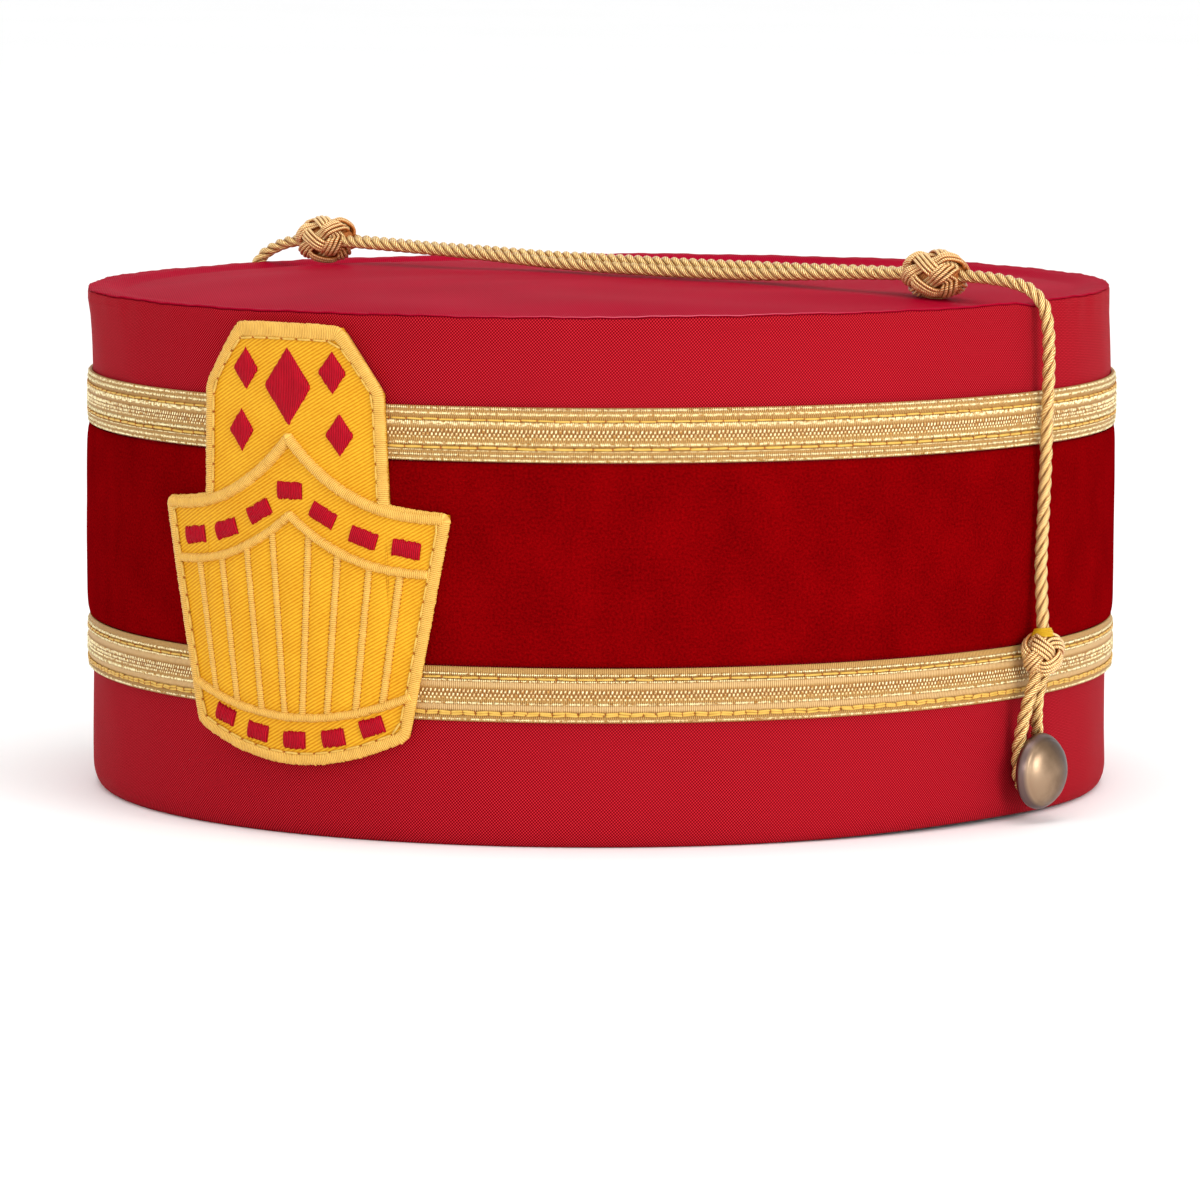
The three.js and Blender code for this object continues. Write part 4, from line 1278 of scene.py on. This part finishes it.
def border_lines():
    """The middle of the border's stitches, how far they reach in from it, and their inner edge."""
    middle = resampled(rounded(inset(patch_outline(), BORDER_OUTER)), THREAD, closed=True)
    ahead = unit(np.roll(middle, -1, axis=0) - np.roll(middle, 1, axis=0))
    at_top = ahead[:, 0] ** 2 * (middle[:, 1] > BORDER_TOP_FROM)
    window = 2 * BORDER_EASE + 1
    at_top = np.convolve(np.pad(at_top, BORDER_EASE, "wrap"), np.ones(window) / window, "valid")
    inner = BORDER_INNER + (BORDER_INNER_TOP - BORDER_INNER) * at_top
    inward = np.stack([-ahead[:, 1], ahead[:, 0]], axis=1)
    return middle, inner, middle + SEWING_REACH * inner[:, None] * inward


def add_border(random):
    middle, inner, edge = border_lines()
    border = Shape()
    add_bar(border, middle, BORDER_OUTER, random, BORDER_CREST, closed=True, skirt=SKIRT, left_half=inner)
    border.piece("badge_border", GOLD_STITCH, "gold_thread", "badge_braid")

    sewing, holes = Shape(), Shape()
    line = resampled(edge, SEWING_PITCH, closed=True)
    ahead = np.roll(line, -1, axis=0) - line
    slant = np.arctan2(ahead[:, 1], ahead[:, 0])
    at = np.column_stack([line + ahead / 2, np.full(len(line), PATCH_FRONT + SEWING_LIFT)])
    add_beads(sewing, on_front, STITCH, at, SEWING_SIZE, slant)
    # Dark beads at the stitches' ends, painted shade at the needle holes.
    at = np.column_stack([line, np.full(len(line), PATCH_FRONT + SEWING_HOLE_LIFT)])
    add_beads(holes, on_front, DASH, at, SEWING_HOLE, slant)
    sewing.piece("badge_sewing", YELLOW_STITCH, "gold_thread")
    holes.piece("badge_sewing_hole_shade", NEEDLE_HOLE_SHADE, "gold_thread")


def add_rib_edge_pricks_and_shade(holes, ends):
    """Dark beads along both edges of a rib: needle holes, with painted shade along the rib's edges."""
    line = resampled(ends, PRICK_PITCH)
    ahead = unit(ends[1] - ends[0])
    right = np.array([ahead[1], -ahead[0]]) * (RIB_WIDTH / 2 + PRICK_GAP)
    for x, z in ((line - right).T, (line + right).T):
        at = np.stack([x, z, PATCH_FRONT + quilting(x / MM, z / MM)], axis=1)
        add_beads(holes, on_front, SEED, at, PRICK_SIZE)


def add_arches_and_ribs(random):
    net, holes = Shape(), Shape()
    for arch in (UPPER_ARCH, LOWER_ARCH):
        path = side_to_side(arch, lambda x, arch=arch: arch_height(arch, x))
        add_bar(net, path, arch["width"] / 2 * MM, random, ARCH_CREST)
    add_bar(net, side_to_side(FOOT_ARC, foot_height), FOOT_ARC["width"] / 2 * MM, random, ARCH_CREST)
    for rib in RIBS:
        foot, top = foot_height(rib["foot"]), arch_height(LOWER_ARCH, rib["top"])
        for side in (-1, 1):
            ends = np.array([(side * rib["foot"], foot), (side * rib["top"], top)]) * MM
            add_bar(net, ends, RIB_WIDTH / 2, random, RIB_CREST)
            add_rib_edge_pricks_and_shade(holes, ends)
    net.piece("badge_arches_and_ribs", GOLD_STITCH, "gold_thread", "badge_braid")
    holes.piece("badge_needle_hole_and_rib_edge_shade", NEEDLE_HOLE_SHADE, "gold_thread")


def add_red_bar(name, node, ends, half, random, ragged):
    shape = Shape()
    add_bar(shape, np.array(ends) * MM, half * MM, random, BLOCK_CREST, ragged=ragged)
    shape.piece(name, RED_STITCH, "red_thread", node)


def add_red_stitching(random):
    for name, rows in (("upper", UPPER_BLOCKS), ("lower", LOWER_BLOCKS)):
        for k, row in enumerate(both_halves(rows), 1):
            slope = math.radians(row["tilt"]) * np.sign(row["x"])
            reach = np.array([math.cos(slope), -math.sin(slope)]) * BLOCK_LENGTHS[name] / 2
            middle = np.array([row["x"], row["z"]])
            add_red_bar(f"stitched_block_{name}_{k}", f"badge_block_{name}_{k}",
                        [middle - reach, middle + reach], BLOCK_HEIGHT / 2, random, BLOCK_RAGGED)
    for k, row in enumerate(LOZENGES, 1):
        ends = [(row["x"] + side * row["width"] / 2, row["z"]) for side in (-1, 1)]
        half = np.array([LOZENGE_TIP, 1, LOZENGE_TIP]) * row["height"] / 2
        add_red_bar(f"stitched_lozenge_{k}", f"badge_lozenge_{k}", ends, half, random, LOZENGE_RAGGED)


add_patch()
gold_random = np.random.default_rng(21)
add_border(gold_random)
add_arches_and_ribs(gold_random)
add_red_stitching(np.random.default_rng(22))


# Buttons

BUTTON_SIDES = 72
SHANK_RADIUS = 2 * MM
SHANK_LENGTH = 3.7 * MM
BUTTON_RADIUS = 6.85 * MM
BUTTON_TILT = math.radians(6)  # towards the front, as its loose shank lets it hang
# Shares of the button's radius and of its rise, from the back plate over a bevelled rim to the crown
BUTTON_PROFILE = [
    (0.34, -0.02), (0.60, 0.0), (0.88, 0.01), (0.95, 0.04), (0.99, 0.11), (1.0, 0.19), (0.985, 0.28),
    (0.942, 0.393), (0.897, 0.488), (0.873, 0.525), (0.85, 0.553), (0.83, 0.60), (0.79, 0.668), (0.70, 0.77),
    (0.58, 0.855), (0.44, 0.925), (0.30, 0.966), (0.15, 0.99), (0.04, 1.0),
]


def add_button(name, node, side):
    low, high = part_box(node)
    base = low.x if side > 0 else high.x
    rise = high.x - low.x - SHANK_LENGTH
    shank = [(0.02 * SHANK_RADIUS, 0), (SHANK_RADIUS, 0), (SHANK_RADIUS, SHANK_LENGTH - 0.2 * MM)]
    head = [(r * BUTTON_RADIUS, SHANK_LENGTH + h * rise) for r, h in BUTTON_PROFILE]
    profile = np.array(shank + head)
    turn = np.linspace(0, FULL_TURN, BUTTON_SIDES + 1)
    radius, out = profile[:, :1], profile[:, 1:]
    across = side * radius * np.cos(turn[:-1])
    x = base + side * (out * math.cos(BUTTON_TILT) + across * math.sin(BUTTON_TILT))
    y = (low.y + high.y) / 2 - out * math.sin(BUTTON_TILT) + across * math.cos(BUTTON_TILT)
    z = (low.z + high.z) / 2 + radius * np.sin(turn[:-1])
    from_crown = lengths_along(profile[::-1])[::-1, None]
    uvs = np.stack([from_crown * np.cos(turn), from_crown * np.sin(turn)], axis=-1)
    skin(name, BRASS, "brass", node, np.stack([x, y, z], axis=-1), uvs, caps=True)


add_button("brass_button_left", "button_left", 1)
add_button("brass_button_right", "button_right", -1)
